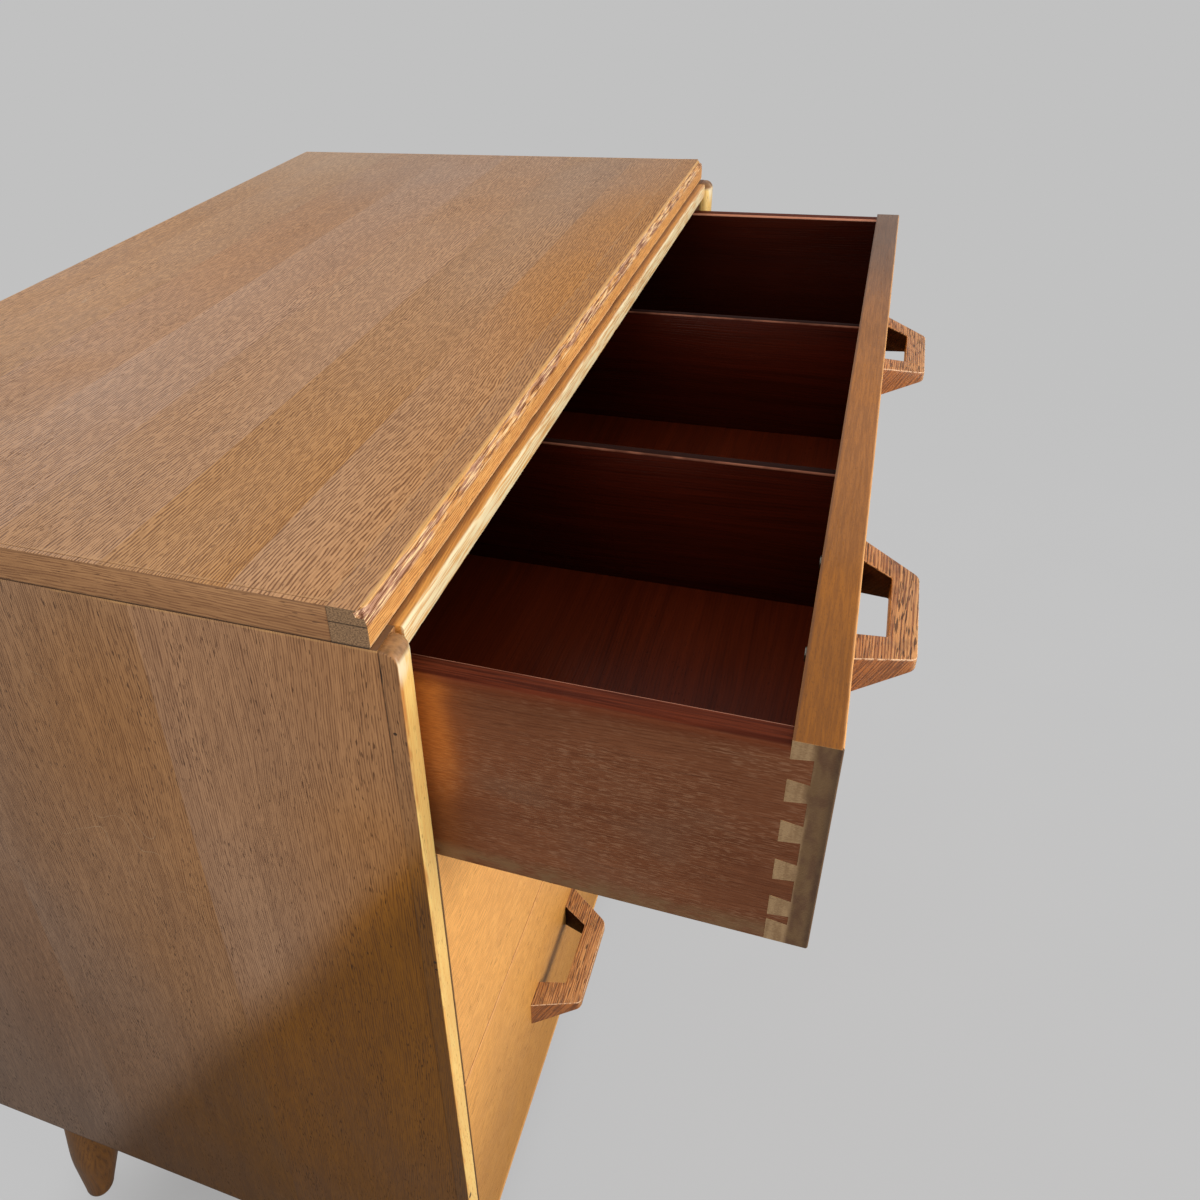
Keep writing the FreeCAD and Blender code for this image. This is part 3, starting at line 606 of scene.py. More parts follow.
def make_strip(side):
    """The front lipping of a side: pale in front, rubbed on its outer arris, veneered outside, with a
    painted highlight near its top and painted shade on its inner face.
    """
    sign = -1.0 if side == "left" else 1.0
    s = Shade(side + "_strip_oak")
    (_, y0, _), (_, y1, _) = box_of(side + "_side_lipping")
    x, y, z = s.x, s.y, s.z
    look = wood(s, "z", "x", light=(255, 224, 140), dark=(242, 184, 100), deep=(132, 86, 48),
                seed=5.5 if side == "left" else 15.5, band=0.2, band_size=0.012, line=0.3, line_size=0.0025,
                stroke=0.4, stroke_size=(0.012, 0.0015), pores=0.25, pore_tone=0.4, rough=(0.34, 0.48))
    outward = s.mul(s.nx, sign)
    inward = s.mul(s.nx, -sign)
    rub = s.grain((x, y, z), (0.01, 0.01, 0.035), 3.0, 0.6, 2.0)
    arris = s.mul(s.step(s.mul(x, sign), 0.3772, 0.3788), s.step(z, 0.45, 0.71, 0.3, 1.0))
    tint(s, look, s.mul(arris, s.step(rub, 0.4, 0.6)), (188, 108, 46), 0.75)
    # Painted highlight: a pale spot near the top of the front face
    painted_highlight_spot = s.all_of(s.step(z, 0.700, 0.712), s.step(rub, 0.4, 0.55), s.step(s.ny, -0.5, -0.8))
    tint(s, look, painted_highlight_spot, (255, 240, 205), 0.85)
    crest = s.step(s.nz, 0.05, 0.45)
    tint(s, look, crest, s.mix(s.step(rub, 0.42, 0.6), srgb(116, 76, 46), srgb(170, 120, 76)), 0.92)
    # Painted shade on the face towards the drawers
    shift(s, look, s.step(inward, 0.75, 0.95), 0.5, 1.0, 0.72, 0.8)

    face = panel_look(s, side)
    rag = s.grain((x, y, z), (0.01, 0.01, 0.02), 2.0, 0.6, 8.0)
    seam = s.step(s.size(s.sub(y, y1 - 0.0004)), 0.0001, 0.0006, 1.0, 0.0)
    seam = s.all_of(seam, s.step(rag, 0.42, 0.55, 0.15, 1.0), s.step(z, 0.62, 0.69, 0.35, 1.0))
    tint(s, face, seam, (44, 28, 18), 0.75)
    tint(s, face, s.step(y, y0 + 0.0042, y0 + 0.001), (84, 56, 34), 0.15)
    look = blend(s, s.step(outward, 0.72, 0.9), look, face)
    if side == "left":
        marks = s.most(s.spot((-0.3800, -0.1106, 0.7075), (0.0015, 0.0006, 0.0048)),
                       s.spot((-0.3800, -0.1135, 0.6760), (0.0012, 0.0009, 0.0009)),
                       s.spot((-0.3796, -0.1178, 0.5180), (0.0012, 0.0009, 0.0011)),
                       s.spot((-0.3796, -0.1180, 0.5120), (0.0012, 0.0008, 0.0008)),
                       s.spot((-0.3778, -0.1195, 0.2700), (0.0016, 0.0012, 0.0022)))
        tint(s, look, marks, (34, 20, 12), 0.9)
        look["height"] = s.math("MULTIPLY_ADD", marks, -4.0, look["height"])
    return s.finish(look, 0.35, specular=0.4)


def make_plain(name, grain, across, light, dark, seed, **more):
    s = Shade(name)
    look = wood(s, grain, across, light=light, dark=dark, deep=(96, 64, 38), seed=seed, pores=0.2,
                pore_tone=0.4, rough=(0.6, 0.75), **more)
    return s.finish(look, 0.3, specular=0.3)


def make_leg_wood():
    s = Shade("leg_oak")
    look = wood(s, "z", "y", light=(126, 80, 24), dark=(80, 47, 13), deep=(50, 28, 10), seed=25.0,
                band=0.3, band_size=0.012, line=0.4, line_size=0.003, stroke=0.4,
                stroke_size=(0.014, 0.0018), mottle=0.4, mottle_size=0.05, pores=0.4, pore_tone=0.5,
                rough=(0.32, 0.46))
    rag = s.noise(s.obj, 3.0, 0.65, 90.0)
    foot = s.mul(s.step(s.z, 0.016, 0.002), s.step(rag, 0.35, 0.6))
    tint(s, look, foot, (92, 66, 44), 0.6)
    return s.finish(look, 0.3, coat=0.1)


def make_steel(name, colour, rough):
    """Brushed steel with darker and duller spots."""
    s = Shade(name)
    s.bsdf.inputs["Metallic"].default_value = 1.0
    brush = s.grain((s.x, s.y, s.z), (0.0025, 0.0004, 0.0004), 2.0, 0.5)
    blot = s.noise(s.obj, 3.0, 0.6, 160.0)
    worn = tuple(int(part * 0.6) for part in colour)
    brushed = s.step(brush, 0.2, 0.8, rough - 0.08, rough + 0.1)
    look = {"colour": s.mix(s.step(blot, 0.35, 0.7), srgb(*colour), srgb(*worn)),
            "rough": s.add(brushed, s.step(blot, 0.5, 0.8, 0.0, 0.2)),
            "height": brush}
    return s.finish(look, 0.25)


# Materials of the drawers

def make_front(level):
    """A drawer front: oak outside, stain inside, a darker top edge, end grain with laps at its ends, and
    painted light and shade.
    """
    node = level + "_drawer_front"
    (x0, y0, _), (x1, y1, z1) = box_of(node)
    s = Shade(node + "_oak")
    x, y, z = s.x, s.y, s.z
    look = wood(s, "x", "z", light=(252, 187, 104), dark=(208, 144, 74), deep=(128, 80, 40),
                seed={"top": 3.1, "middle": 6.4, "bottom": 8.8}[level], band=0.14, band_size=0.04, line=0.24,
                line_size=0.006, stroke=0.95, stroke_size=(0.009, 0.0018), fibre=0.2, mottle=0.16, pores=0.3,
                pore_size=(0.006, 0.0005), pore_tone=0.45, rough=(0.36, 0.48))
    # Painted shade: darker towards the bottom
    shift(s, look, s.step(z, 0.46, 0.16), 0.498, 1.06, 0.52, 1.0)
    back = s.step(s.ny, 0.55, 0.85)
    streak = s.grain((x, y, z), (0.12, 0.003, 0.004), 2.0, 0.6, 3.0)
    tint(s, look, back, s.mix(s.step(streak, 0.3, 0.7), srgb(52, 18, 8), srgb(84, 34, 16)))

    lines = s.grain((x, y, z), (0.025, 0.0011, 0.002), 2.0, 0.65, 3.0)
    cloud = s.grain((x, y, z), (0.09, 0.03, 0.03), 2.0, 0.5, 5.0)
    flecks = s.grain((x, y, z), (0.0022, 0.0005, 0.002), 2.0, 0.6, 11.0)
    edge = s.mix(s.step(lines, 0.38, 0.62), srgb(142, 86, 38), srgb(160, 99, 46))
    edge = s.mix(s.step(flecks, 0.5, 0.75, 0.0, 0.6), edge, srgb(112, 66, 30))
    # Painted light and shade along the top edge: brighter left of the middle, darker and duller towards the
    # right
    saturation = s.mul(s.step(x, -0.37, -0.2, 1.32, 1.04), s.step(x, 0.0, 0.36, 1.0, 0.78))
    edge = s.hsv(edge, 0.503, saturation, s.step(cloud, 0.3, 0.7, 0.92, 1.06))
    painted_light_and_shade = s.mul(s.step(x, -0.34, -0.1, 0.98, 1.28), s.step(x, 0.0, 0.32, 1.0, 0.48))
    edge = s.hsv(edge, 0.5, 1.0, painted_light_and_shade)
    up = s.step(s.nz, 0.6, 0.85)
    tint(s, look, up, edge)
    tint(s, look, s.mul(up, s.step(y, y1 - 0.0016, y1 - 0.0006)), (92, 54, 28), 0.6)
    # Painted highlight along the worn front arris
    arris = s.mul(s.step(z, z1 - 0.0022, z1 - 0.0006), s.step(y, y0 + 0.0014, y0 + 0.0004))
    rag = s.grain((x, y, z), (0.012, 0.004, 0.004), 2.0, 0.6, 7.0)
    rubbed = s.mul(arris, s.step(rag, 0.35, 0.55, 0.4, 1.0))
    tint(s, look, rubbed, (226, 162, 100), 0.65 if level == "top" else 0.4)

    speck = s.grain((x, y, z), (0.002, 0.0012, 0.0006), 1.0, 0.6, 5.0)
    flow = s.grain((x, y, z), (0.02, 0.0035, 0.02), 2.0, 0.5, 9.0)
    stain = s.grain((x, y, z), (0.02, 0.007, 0.012), 2.0, 0.55, 13.0)
    figure = s.add(s.mul(speck, 0.4), s.mul(flow, 0.6))
    ends = s.mix(s.step(figure, 0.36, 0.62), srgb(144, 113, 79), srgb(168, 137, 100))
    lap = s.mix(s.step(stain, 0.4, 0.62), srgb(105, 77, 47), srgb(85, 53, 32))
    ragged_y = s.add(y, s.mul(s.sub(flow, 0.5), 0.004))
    in_lap = s.step(ragged_y, y0 + 0.0125, y0 + 0.0085)
    ends = s.mix(s.mul(in_lap, 0.85), ends, lap)
    ends = s.mix(s.mul(s.step(y, y0 + 0.0042, y0 + 0.0006), 0.55), ends, srgb(62, 42, 28))
    # Painted shade on the rounded corners at the ends
    rim = s.most(s.step(x, x0 + 0.0018, x0 + 0.0008), s.step(x, x1 - 0.0018, x1 - 0.0008))
    tint(s, look, s.mul(rim, s.step(s.ny, -0.15, -0.4)), (54, 34, 20), 0.88)
    at_end = s.step(s.size(s.nx), 0.6, 0.85)
    tint(s, look, at_end, ends)
    look["rough"] = s.math("MULTIPLY_ADD", at_end, 0.2, look["rough"])
    return s.finish(look, 0.25, specular=0.45)


def polished_box_look(s, grain, across, seed):
    """The inside of a drawer box: dark and polished."""
    return wood(s, grain, across, light=(66, 22, 9), dark=(42, 12, 5), deep=(24, 7, 4), seed=seed, band=0.35,
                band_size=0.04, line=0.3, line_size=0.006, stroke=0.2, stroke_size=(0.03, 0.0020), fibre=0.2,
                mottle=0.4, pores=0.1, pore_tone=0.3, rough=(0.26, 0.38))


def make_box_back(node, seed):
    s = Shade(node + "_wood")
    return s.finish(polished_box_look(s, "x", "z", seed), 0.2, specular=0.2)


def make_box_side(node, seed, outside):
    """A drawer's side: matt and rubbed outside, dark and polished inside, with painted highlights along its
    top arrises. Outside is -1 or 1 along X.
    """
    (_, _, z0), (_, _, z1) = box_of(node)
    s = Shade(node + "_wood")
    x, y, z = s.x, s.y, s.z
    outer = wood(s, "y", "z", light=(128, 80, 54), dark=(98, 56, 36), deep=(62, 32, 20), seed=seed,
                 band=0.3, band_size=0.03, line=0.35, line_size=0.004, stroke=0.3,
                 stroke_size=(0.012, 0.0016), fibre=0.3, mottle=0.45, mottle_size=0.08, pores=0.15,
                 pore_size=(0.009, 0.0004), pore_tone=0.3, rough=(0.5, 0.64))
    pale = s.grain((x, y, z), (0.02, 0.0060, 0.0007), 2.0, 0.62, seed)
    patch = s.grain((x, y, z), (0.1, 0.07, 0.03), 2.0, 0.55, seed + 3)
    rubbed = s.mul(s.step(pale, 0.5, 0.62), s.step(patch, 0.36, 0.6, 0.2, 1.0))
    tint(s, outer, rubbed, (164, 124, 96), 0.42)
    tint(s, outer, s.step(patch, 0.56, 0.72), (122, 90, 70), 0.35)
    if node == "top_drawer_left_side":
        add_mouth_glow(s, outer, pale, patch, z1)
    rag = s.grain((x, y, z), (0.02, 0.02, 0.012), 3.0, 0.6, seed + 5)
    foot = s.mul(s.step(z, z0 + 0.014, z0 + 0.005), s.step(rag, 0.32, 0.6))
    tint(s, outer, foot, (126, 98, 70), 0.75)
    crown = s.step(z, z1 - 0.010, z1 - 0.002)
    tint(s, outer, crown, (98, 46, 26), 0.7)
    # Painted highlight along the upper outer arris
    arris = s.mul(s.step(z, z1 - 0.0042, z1 - 0.0026), s.step(z, z1 - 0.0008, z1 - 0.0018))
    tint(s, outer, arris, (140, 74, 44), 0.2)
    fine = s.grain((x, y, z), (0.0014, 0.07, 0.004), 2.0, 0.6, seed + 6)
    crest = s.mix(s.step(fine, 0.36, 0.64), srgb(72, 27, 15), srgb(106, 46, 26))
    tint(s, outer, s.step(s.nz, 0.35, 0.8), crest, 0.92)
    tint(s, outer, s.step(s.size(s.ny), 0.6, 0.85), (104, 66, 42), 0.8)

    inward = s.mul(s.nx, -outside)
    look = blend(s, s.step(inward, 0.5, 0.8), outer, polished_box_look(s, "y", "z", seed + 2))
    # Painted highlight along the inner top arris
    line = s.all_of(s.step(inward, 0.25, 0.5), s.step(s.nz, 0.2, 0.45), s.step(patch, 0.34, 0.52, 0.45, 1.0))
    tint(s, look, line, (226, 156, 126), 0.85)
    return s.finish(look, 0.3, specular=0.06)


def add_mouth_glow(s, look, pale, patch, z1):
    """The warm light on the open top drawer's side, where it comes out beside the strip."""
    high = s.step(s.z, z1 - 0.10, z1 - 0.03, 0.25, 1.0)
    torn = s.add(s.y, s.mul(s.sub(patch, 0.5), 0.012))
    mouth = s.mul(s.step(torn, -0.150, -0.122), s.step(s.y, -0.07, -0.116))
    tint(s, look, s.mul(mouth, high), (150, 80, 34), 0.5)
    glow = s.all_of(mouth, s.step(torn, -0.1370, -0.1250), high, s.step(pale, 0.35, 0.6, 0.6, 1.0))
    tint(s, look, glow, (214, 132, 58), 0.55)
    # Painted shade below the painted warm light
    tint(s, look, s.mul(mouth, s.step(s.z, z1 - 0.05, z1 - 0.10)), (84, 48, 26), 0.5)


def inner_look(s, grain, across, seed, light, dark, rough):
    """Stained wood inside a drawer."""
    return wood(s, grain, across, light=light, dark=dark, deep=(24, 8, 5), seed=seed, band=0.4,
                band_size=0.05, line=0.6, line_size=0.005, stroke=0.2, stroke_size=(0.03, 0.0020),
                mottle=0.5, mottle_size=0.16, pores=0.1, pore_tone=0.3, rough=rough)


def make_bottom(node, seed):
    s = Shade(node + "_wood")
    look = inner_look(s, "x", "y", seed, (108, 38, 11), (72, 23, 7), (0.3, 0.42))
    return s.finish(look, 0.2, specular=0.2)


def make_divider(node):
    """A divider: matt and dark on top, with a painted highlight along its left arris."""
    (x0, _, _), (_, _, z1) = box_of(node)
    s = Shade(node + "_wood")
    look = inner_look(s, "y", "z", 61.0, (78, 23, 7), (48, 13, 4), (0.24, 0.36))
    up = s.step(s.nz, 0.5, 0.8)
    tint(s, look, up, (40, 15, 9), 0.95)
    look["rough"] = s.math("MULTIPLY_ADD", up, 0.5, look["rough"])
    rag = s.grain((s.x, s.y, s.z), (0.01, 0.02, 0.01), 2.0, 0.6, 3.0)
    # Painted highlight along the left top arris
    line = s.all_of(s.step(s.z, z1 - 0.0014, z1 - 0.0005), s.step(s.x, x0 + 0.0014, x0 + 0.0005),
                    s.step(rag, 0.35, 0.6, 0.4, 1.0))
    tint(s, look, line, (168, 108, 84), 0.8)
    return s.finish(look, 0.2, specular=0.1)


def make_handle_wood(node, seed, stroke):
    """A handle: coarse dark grain, end grain, a hollow made near-black by painted shade, and a pale broken
    upper arris.
    """
    (x0, y0, _), (x1, y1, z1) = box_of(node)
    s = Shade(node + "_oak")
    x, y, z = s.x, s.y, s.z
    look = wood(s, "x", "y", light=(214, 156, 98), dark=(140, 86, 50), deep=(62, 32, 18), seed=seed,
                band=0.25, band_size=0.012, line=0.75, line_size=0.0024, stroke=stroke,
                stroke_size=(0.021, 0.0021), fibre=0.3, mottle=0.3, mottle_size=0.03, pores=0.7,
                pore_size=(0.010, 0.00036), pore_tone=0.8, cluster=0.006, rough=(0.3, 0.46))
    rings = s.grain((x, s.add(y, s.mul(z, 0.7)), z), (0.01, 0.0012, 0.02), 2.0, 0.55, seed)
    ends = s.mix(s.step(rings, 0.38, 0.6), srgb(104, 56, 24), srgb(168, 102, 48))
    tint(s, look, s.step(s.size(s.nx), 0.45, 0.75), ends, 0.92)
    middle = (x0 + x1) / 2
    # Painted shade: the hollow behind the grip is near-black
    between_feet = s.step(s.size(s.sub(x, middle)), 0.0374, 0.0362)
    behind_grip = s.step(y, y0 + 0.0142, y0 + 0.0148)
    hollow = s.all_of(between_feet, behind_grip, s.step(s.nz, 0.6, 0.2))
    tint(s, look, hollow, (24, 7, 3), 0.95)
    dirt = s.noise(s.obj, 3.0, 0.6, 80.0)
    tint(s, look, s.step(dirt, 0.5, 0.72), (86, 52, 32), 0.35)
    top_slope = 9.0 / 33.4
    above_top = s.sub(z, s.math("MULTIPLY_ADD", s.sub(y, y1), top_slope, z1))
    crest = s.mul(s.step(above_top, -0.0013, -0.0003), s.step(s.nz, 0.93, 0.8))
    rag = s.noise(s.obj, 3.0, 0.7, 420.0)
    tint(s, look, s.mul(crest, s.step(rag, 0.4, 0.52)), (244, 204, 166), 0.85)
    tint(s, look, s.mul(crest, s.step(rag, 0.36, 0.28)), (58, 28, 16), 0.7)
    material = s.finish(look, 0.6)
    s.put(s.bsdf.inputs["Specular IOR Level"], s.mix_number(hollow, 0.55, 0.05))
    return material


# The case

def make_lipping():
    """The top's front lipping, with the chips along its bevel and its worn ends."""
    node = "top_front_lipping"
    (x0, y0, z0), (x1, y1, z1) = box_of(node)
    worn_end = 0.008
    chip_depth = {5: 0.0001, 6: 0.0003, 7: 0.0006, 8: 0.0005, 9: 0.0003, 10: 0.0003, 11: 0.0004, 12: 0.0005,
                  13: 0.0002, 16: 0.0003, 17: 0.0004}
    section = [(y1, z0), (y1, z0 + 0.0095), (y1, z1),
               (y0 + 0.009, z1), (y0 + 0.0055, z1), (y0 + 0.0038, z1), (y0 + 0.0027, z1), (y0 + 0.002, z1),
               (y0 + 0.0017, z1 - 0.0009), (y0 + 0.0013, z1 - 0.0022), (y0 + 0.0009, z1 - 0.0036),
               (y0 + 0.0005, z1 - 0.0050), (y0, z1 - 0.0065), (y0, z1 - 0.0076), (y0, z1 - 0.010),
               (y0, z1 - 0.0130), (y0, z0 + 0.0012), (y0 + 0.0005, z0 + 0.0003), (y0 + 0.0014, z0)]

    def wobble(along, corner, _y, _z):
        amount = chip_depth.get(corner, 0.0)
        if not amount:
            return 0.0, 0.0
        end = max(0.0, 1.0 - min(along - x0, x1 - along) / worn_end)
        worn = end * end * 0.0035 if 6 <= corner <= 9 else 0.0
        medium = noise.noise(Vector((along * 70, corner * 0.35, 1.7)))
        broad = noise.noise(Vector((along * 45, corner * 0.2, 8.1)))
        fine = noise.noise(Vector((along * 230, corner * 0.8, 3.3)))
        depth = amount * (0.35 * max(0.0, medium) + 0.3 * max(0.0, fine) + max(0.0, broad - 0.2) * 2.0)
        if corner >= 16:
            return depth, depth * 0.6
        return depth * 0.9 + worn, -(depth + worn * 0.4) if corner <= 8 else -worn * 0.4

    bar(node, section, 900, wobble, make_lipping_wood(node), 32.0)


def make_rail(node, lit):
    """A front rail with its front arrises rounded and a few dents along its nose."""
    (_, y0, z0), (_, y1, z1) = box_of(node)
    upper_radius = 0.0015
    lower_radius = 0.004
    nose = y0 + 0.006
    section = rounded([(y1, z0), (y1, z1), (y0, z1), (y0, z0)], [0.0, 0.0, upper_radius, lower_radius], 7)

    def wobble(along, corner, y, z):
        if y > nose:
            return 0.0, 0.0
        slow = noise.noise(Vector((along * 22, y * 60, z * 60 + 5.0)))
        dent = max(0.0, noise.noise(Vector((along * 60, corner * 0.3, 4.0))) - 0.3)
        return max(0.0, 0.00012 * slow + dent * 0.0008), 0.0

    bar(node, section, 500, wobble, make_rail_wood(node, lit), 50.0)


def make_leg(node, material):
    """A leg turned about its tilted axis, its top cut level and its foot rounded over."""
    (x0, y0, _), (_, y1, z1) = box_of(node)
    side = -1 if x0 < 0 else 1
    top_x = 0.337
    lean = 0.032
    foot = Vector((side * (top_x + lean), (y0 + y1) / 2, 0.0))
    top = Vector((side * top_x, (y0 + y1) / 2, z1))
    axis = (top - foot).normalized()
    length = (top - foot).length
    across = Vector((0, 1, 0))
    third = axis.cross(across)
    profile = [(0.0, 0.0112), (length - 0.078, 0.0215), (length - 0.036, 0.024), (length, 0.023)]
    smoothing = (-0.008, -0.004, 0.0, 0.004, 0.008)
    around = 72
    upper_rings = 44
    foot_height = 0.0065
    heights = [0.0, 0.0003, 0.0009, 0.0018, 0.003, 0.0045, foot_height]
    heights += [foot_height + (length - foot_height) * i / upper_rings for i in range(1, upper_rings + 1)]

    def radius(height):
        total = 0.0
        for reach in smoothing:
            place = min(max(height + reach, 0.0), length)
            for (h0, r0), (h1, r1) in zip(profile, profile[1:]):
                if h0 <= place <= h1:
                    total += (r0 + (r1 - r0) * (place - h0) / (h1 - h0)) / len(smoothing)
                    break
        return total

    bm = bmesh.new()
    rings = []
    for height in heights:
        ring = []
        near_foot = max(0.0, 1.0 - height / 0.005)
        r = radius(height) - 0.0036 * (1.0 - math.sqrt(max(0.0, 1.0 - near_foot ** 2)))
        for k in range(around):
            angle = 2 * math.pi * k / around
            point = foot + axis * height + across * (r * math.cos(angle)) + third * (r * math.sin(angle))
            point += axis * ((z1 * height / length - point.z) / axis.z)
            ring.append(bm.verts.new(point))
        rings.append(ring)
    skin(bm, rings)
    bm.faces.new(rings[0])
    bm.faces.new(rings[-1])
    bmesh.ops.recalc_face_normals(bm, faces=bm.faces)
    add_piece(node, bm, material, 40.0)


def build_case():
    inner = make_plain("inner_timber_oak", "x", "y", (198, 156, 106), (158, 114, 72), 21.0)
    inner_deep = make_plain("inner_timber_deep_oak", "y", "z", (198, 156, 106), (158, 114, 72), 22.0)
    back = make_plain("back_ply", "z", "x", (186, 142, 96), (150, 106, 68), 23.0, band=0.5, band_size=0.03,
                      leaf=(0.3, -0.2, 0.1))
    dress("top_panel", make_top(), 0.0004)
    for node in ("top_left_edging", "top_right_edging"):
        dress(node, make_edging(node))
    make_lipping()
    make_rail("top_front_rail", True)
    make_rail("bottom_front_rail", False)
    for side in ("left", "right"):
        dress(side + "_side", make_panel(side), 0.0003)
        dress(side + "_side_lipping", make_strip(side), 0.0003, angle=40.0)
        for piece in ("upper_%s_runner", "lower_%s_runner", "%s_kicker"):
            dress(piece % side, inner_deep, 0.0008)
    for node in ("top_back_rail", "base_board", "drawer_stops", "front_leg_batten", "rear_leg_batten"):
        dress(node, inner, 0.0008)
    dress("back_panel", back, 0.0005)
    leg_wood = make_leg_wood()
    for end in ("front", "rear"):
        for side in ("left", "right"):
            make_leg("%s_%s_leg" % (end, side), leg_wood)
    dress("leg_plates", make_steel("plate_steel", (138, 134, 126), 0.45))


# The drawers

def build_drawer(level, seed, handle_stroke):
    prefix = level + "_drawer_"
    dress(prefix + "front", make_front(level), 0.00012, 1, angle=50.0)
    for side, sign in (("left", -1.0), ("right", 1.0)):
        node = prefix + side + "_side"
        dress(node, make_box_side(node, seed + sign, sign), 0.00012, 1, angle=50.0)
        node = prefix + side + "_handle"
        coarse_oak = make_handle_wood(node, seed * 1.3 + sign, handle_stroke)
        dress(node, coarse_oak, 0.0007, 3, smooth=60.0, angle=12.0)
    dress(prefix + "back", make_box_back(prefix + "back", seed + 7), 0.0003)
    dress(prefix + "bottom", make_bottom(prefix + "bottom", seed + 7), 0.0)


# The fixings

def build_fixings():
    screw = make_steel("screw_steel", (168, 160, 148), 0.35)
    pin = make_steel("pin_steel", (110, 102, 92), 0.5)
    for level in ("top", "middle", "bottom"):
        dress(level + "_drawer_handle_screws", screw, 0.0004, smooth=40.0)
    dress("leg_plate_screws", screw, 0.0003, smooth=40.0)
    dress("back_pins", pin, 0.0003, smooth=40.0)


# The studio

def make_floor():
    """A pale floor that shows partly its own light, less of it under and around the case, so that part of
    the shade there is painted.
    """
    bm = bmesh.new()
    bmesh.ops.create_grid(bm, x_segments=1, y_segments=1, size=14.0)
    mesh = bpy.data.meshes.new("floor")
    bm.to_mesh(mesh)
    bm.free()
    floor = bpy.data.objects.new("floor", mesh)
    scene.collection.objects.link(floor)

    s = Shade("floor_paint")
    speck = s.noise(s.obj, 3.0, 0.5, 5.0)
    paint = s.mix(s.step(speck, 0.3, 0.7), srgb(152, 152, 152), srgb(158, 158, 158))
    s.put(s.bsdf.inputs["Base Color"], paint)
    s.bsdf.inputs["Roughness"].default_value = 0.9
    s.bsdf.inputs["Specular IOR Level"].default_value = 0.0
    # Painted shade: the floor's own light fades under and around the case
    shade_half_x, shade_half_y, shade_middle_y = 0.42, 0.16, 0.10
    outside_x = s.sub(s.size(s.x), shade_half_x)
    outside_y = s.sub(s.size(s.sub(s.y, shade_middle_y)), shade_half_y)
    beyond = s.most(outside_x, outside_y)
    share = s.add(s.step(beyond, -0.08, 0.06, 0.5, 0.85), s.step(beyond, 0.4, 1.3, 0.0, 0.13))
    glow = s.new("Emission")
    s.put(glow.inputs["Color"], s.mix(s.step(beyond, 0.4, 1.3), srgb(201, 201, 201.5), srgb(*BACKDROP)))
    rays = s.new("LightPath")
    seen = s.most(rays.outputs["Is Camera Ray"], rays.outputs["Is Transmission Ray"])
    cover = s.new("MixShader")
    s.put(cover.inputs[0], s.mul(seen, share))
    s.put(cover.inputs[1], s.bsdf.outputs[0])
    s.put(cover.inputs[2], glow.outputs[0])
    s.put(s.out.inputs["Surface"], cover.outputs[0])
    floor.data.materials.append(s.mat)


def make_world():
    """A soft pale room light, with a grey backdrop for the camera and for reflections."""
    world = bpy.data.worlds.new("studio")
    scene.world = world
    world.use_nodes = True
    nodes = world.node_tree.nodes
    link = world.node_tree.links.new
    nodes.clear()
    room = nodes.new("ShaderNodeBackground")
    room.inputs["Color"].default_value = (1.0, 0.985, 0.96, 1.0)
    room.inputs["Strength"].default_value = 0.66
    backdrop = nodes.new("ShaderNodeBackground")
    backdrop.inputs["Color"].default_value = srgb(*BACKDROP)
    backdrop.inputs["Strength"].default_value = 1.0
    rays = nodes.new("ShaderNodeLightPath")
    sees_backdrop = rays.outputs["Is Camera Ray"]
    for kind in ("Is Transmission Ray", "Is Glossy Ray"):
        larger = nodes.new("ShaderNodeMath")
        larger.operation = "MAXIMUM"
        link(sees_backdrop, larger.inputs[0])
        link(rays.outputs[kind], larger.inputs[1])
        sees_backdrop = larger.outputs[0]
    choice = nodes.new("ShaderNodeMixShader")
    link(sees_backdrop, choice.inputs[0])
    link(room.outputs[0], choice.inputs[1])
    link(backdrop.outputs[0], choice.inputs[2])
    link(choice.outputs[0], nodes.new("ShaderNodeOutputWorld").inputs[0])


def softbox(name, place, target, size, power, colour, spread=180.0):
    light = bpy.data.lights.new(name, "AREA")
    light.shape = "RECTANGLE"
    light.size, light.size_y = size
    light.energy = power
    light.color = colour
    light.spread = math.radians(spread)
    obj = bpy.data.objects.new(name, light)
    scene.collection.objects.link(obj)
    obj.location = place
    obj.rotation_mode = "QUATERNION"
    obj.rotation_quaternion = (Vector(target) - Vector(place)).to_track_quat("-Z", "Y")


# The camera

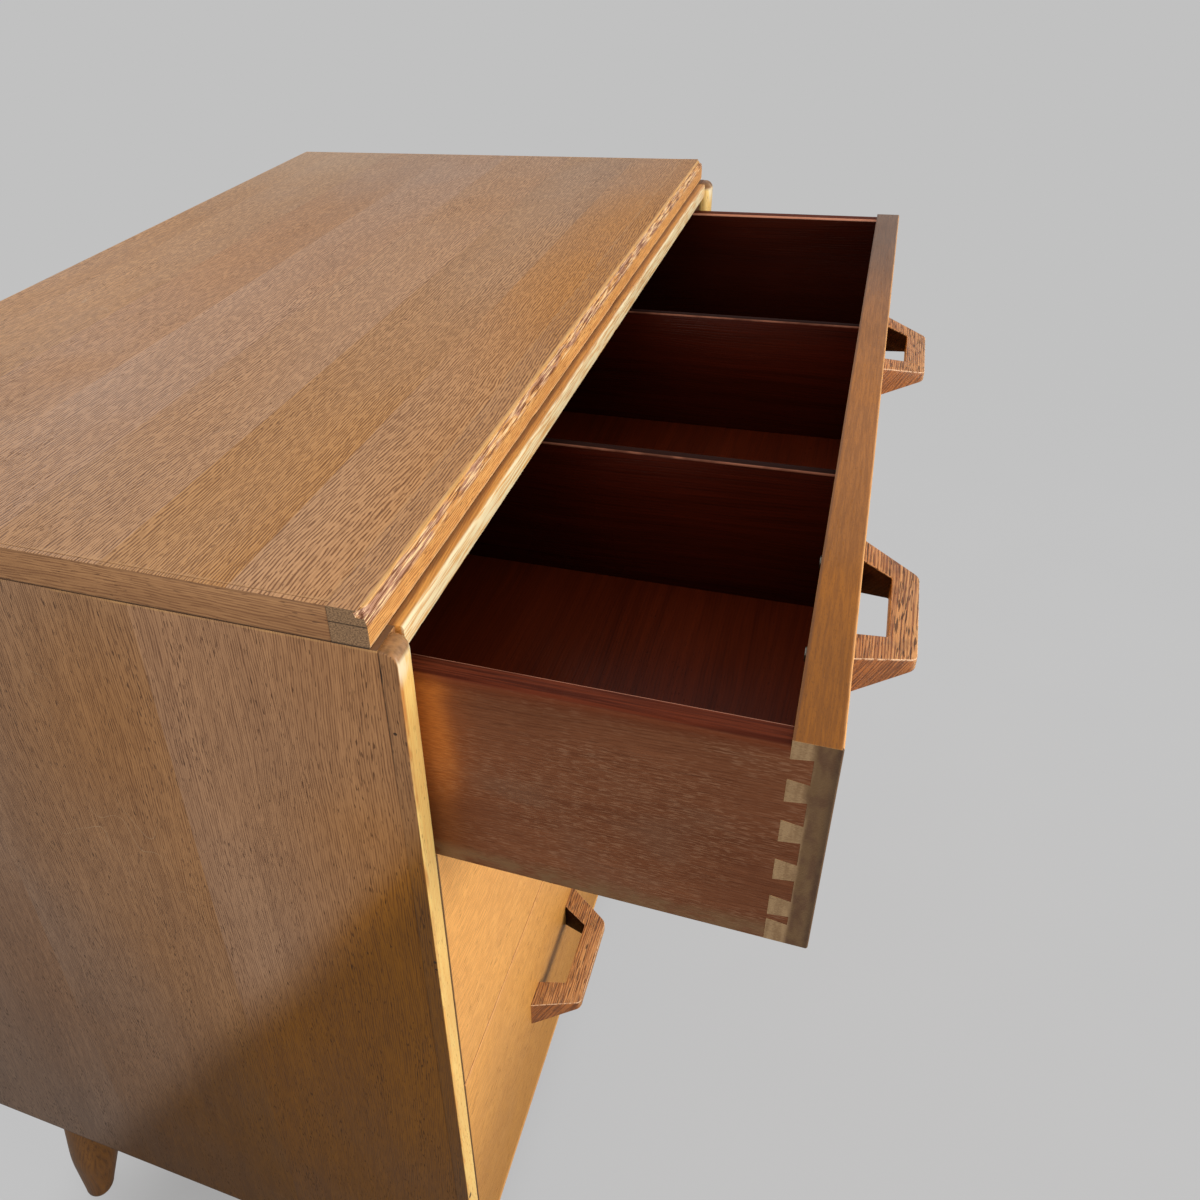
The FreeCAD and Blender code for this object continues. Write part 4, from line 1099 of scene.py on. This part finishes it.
CAMERA_PLACE = Vector((-0.66664, -0.27657, 0.98046))
AIM_FROM = Vector((-1000.0, -500.0, 900.0))
AIM_AT = Vector((0.0, 100.0, -200.0))
TURN = Vector((-0.1758, -0.1083, -0.1635))
FOCAL_PIXELS = 1025.33
CENTRE_X_PIXELS = 476.40
CENTRE_Y_PIXELS = 557.14
FRAME_PIXELS = 1200.0
SENSOR_WIDTH = 36.0


def make_camera():
    """The photograph's camera, whose centre lies off the middle of the picture."""
    first_ahead = (AIM_AT - AIM_FROM).normalized()
    first_right = first_ahead.cross(Vector((0, 0, 1))).normalized()
    first_down = first_ahead.cross(first_right)
    first = Matrix((first_right, first_down, first_ahead))
    right, down, ahead = Matrix.Rotation(TURN.length, 3, TURN.normalized()) @ first
    data = bpy.data.cameras.new("camera")
    camera = bpy.data.objects.new("camera", data)
    scene.collection.objects.link(camera)
    turned = Matrix((right, -down, -ahead)).transposed().to_4x4()
    camera.matrix_world = Matrix.Translation(CAMERA_PLACE) @ turned
    data.sensor_width = SENSOR_WIDTH
    data.lens = FOCAL_PIXELS / FRAME_PIXELS * SENSOR_WIDTH
    data.shift_x = (FRAME_PIXELS / 2 - CENTRE_X_PIXELS) / FRAME_PIXELS
    data.shift_y = (CENTRE_Y_PIXELS - FRAME_PIXELS / 2) / FRAME_PIXELS
    data.clip_start = 0.02
    data.clip_end = 60.0
    scene.camera = camera


# All the pieces, then the studio

build_case()
build_drawer("top", 31.0, 1.05)
build_drawer("middle", 35.0, 0.6)
build_drawer("bottom", 39.0, 0.6)
for side in ("left", "right"):
    node = "top_drawer_%s_divider" % side
    dress(node, make_divider(node))
build_fixings()
make_floor()
make_world()
softbox("front_light", (-0.30, -2.3, 0.85), (-0.15, -0.1, 0.5), (1.4, 1.0), 40.0, (1.0, 0.95, 0.86))
softbox("left_light", (-1.9, 0.2, 1.15), (-0.38, 0.02, 0.72), (0.8, 0.8), 0.8, (1.0, 0.95, 0.88), 60.0)
softbox("top_light", (0.6, 1.9, 2.1), (0.0, 0.1, 0.7), (1.8, 1.0), 17.0, (1.0, 0.99, 0.96))
make_camera()
scene.view_settings.view_transform = "Standard"
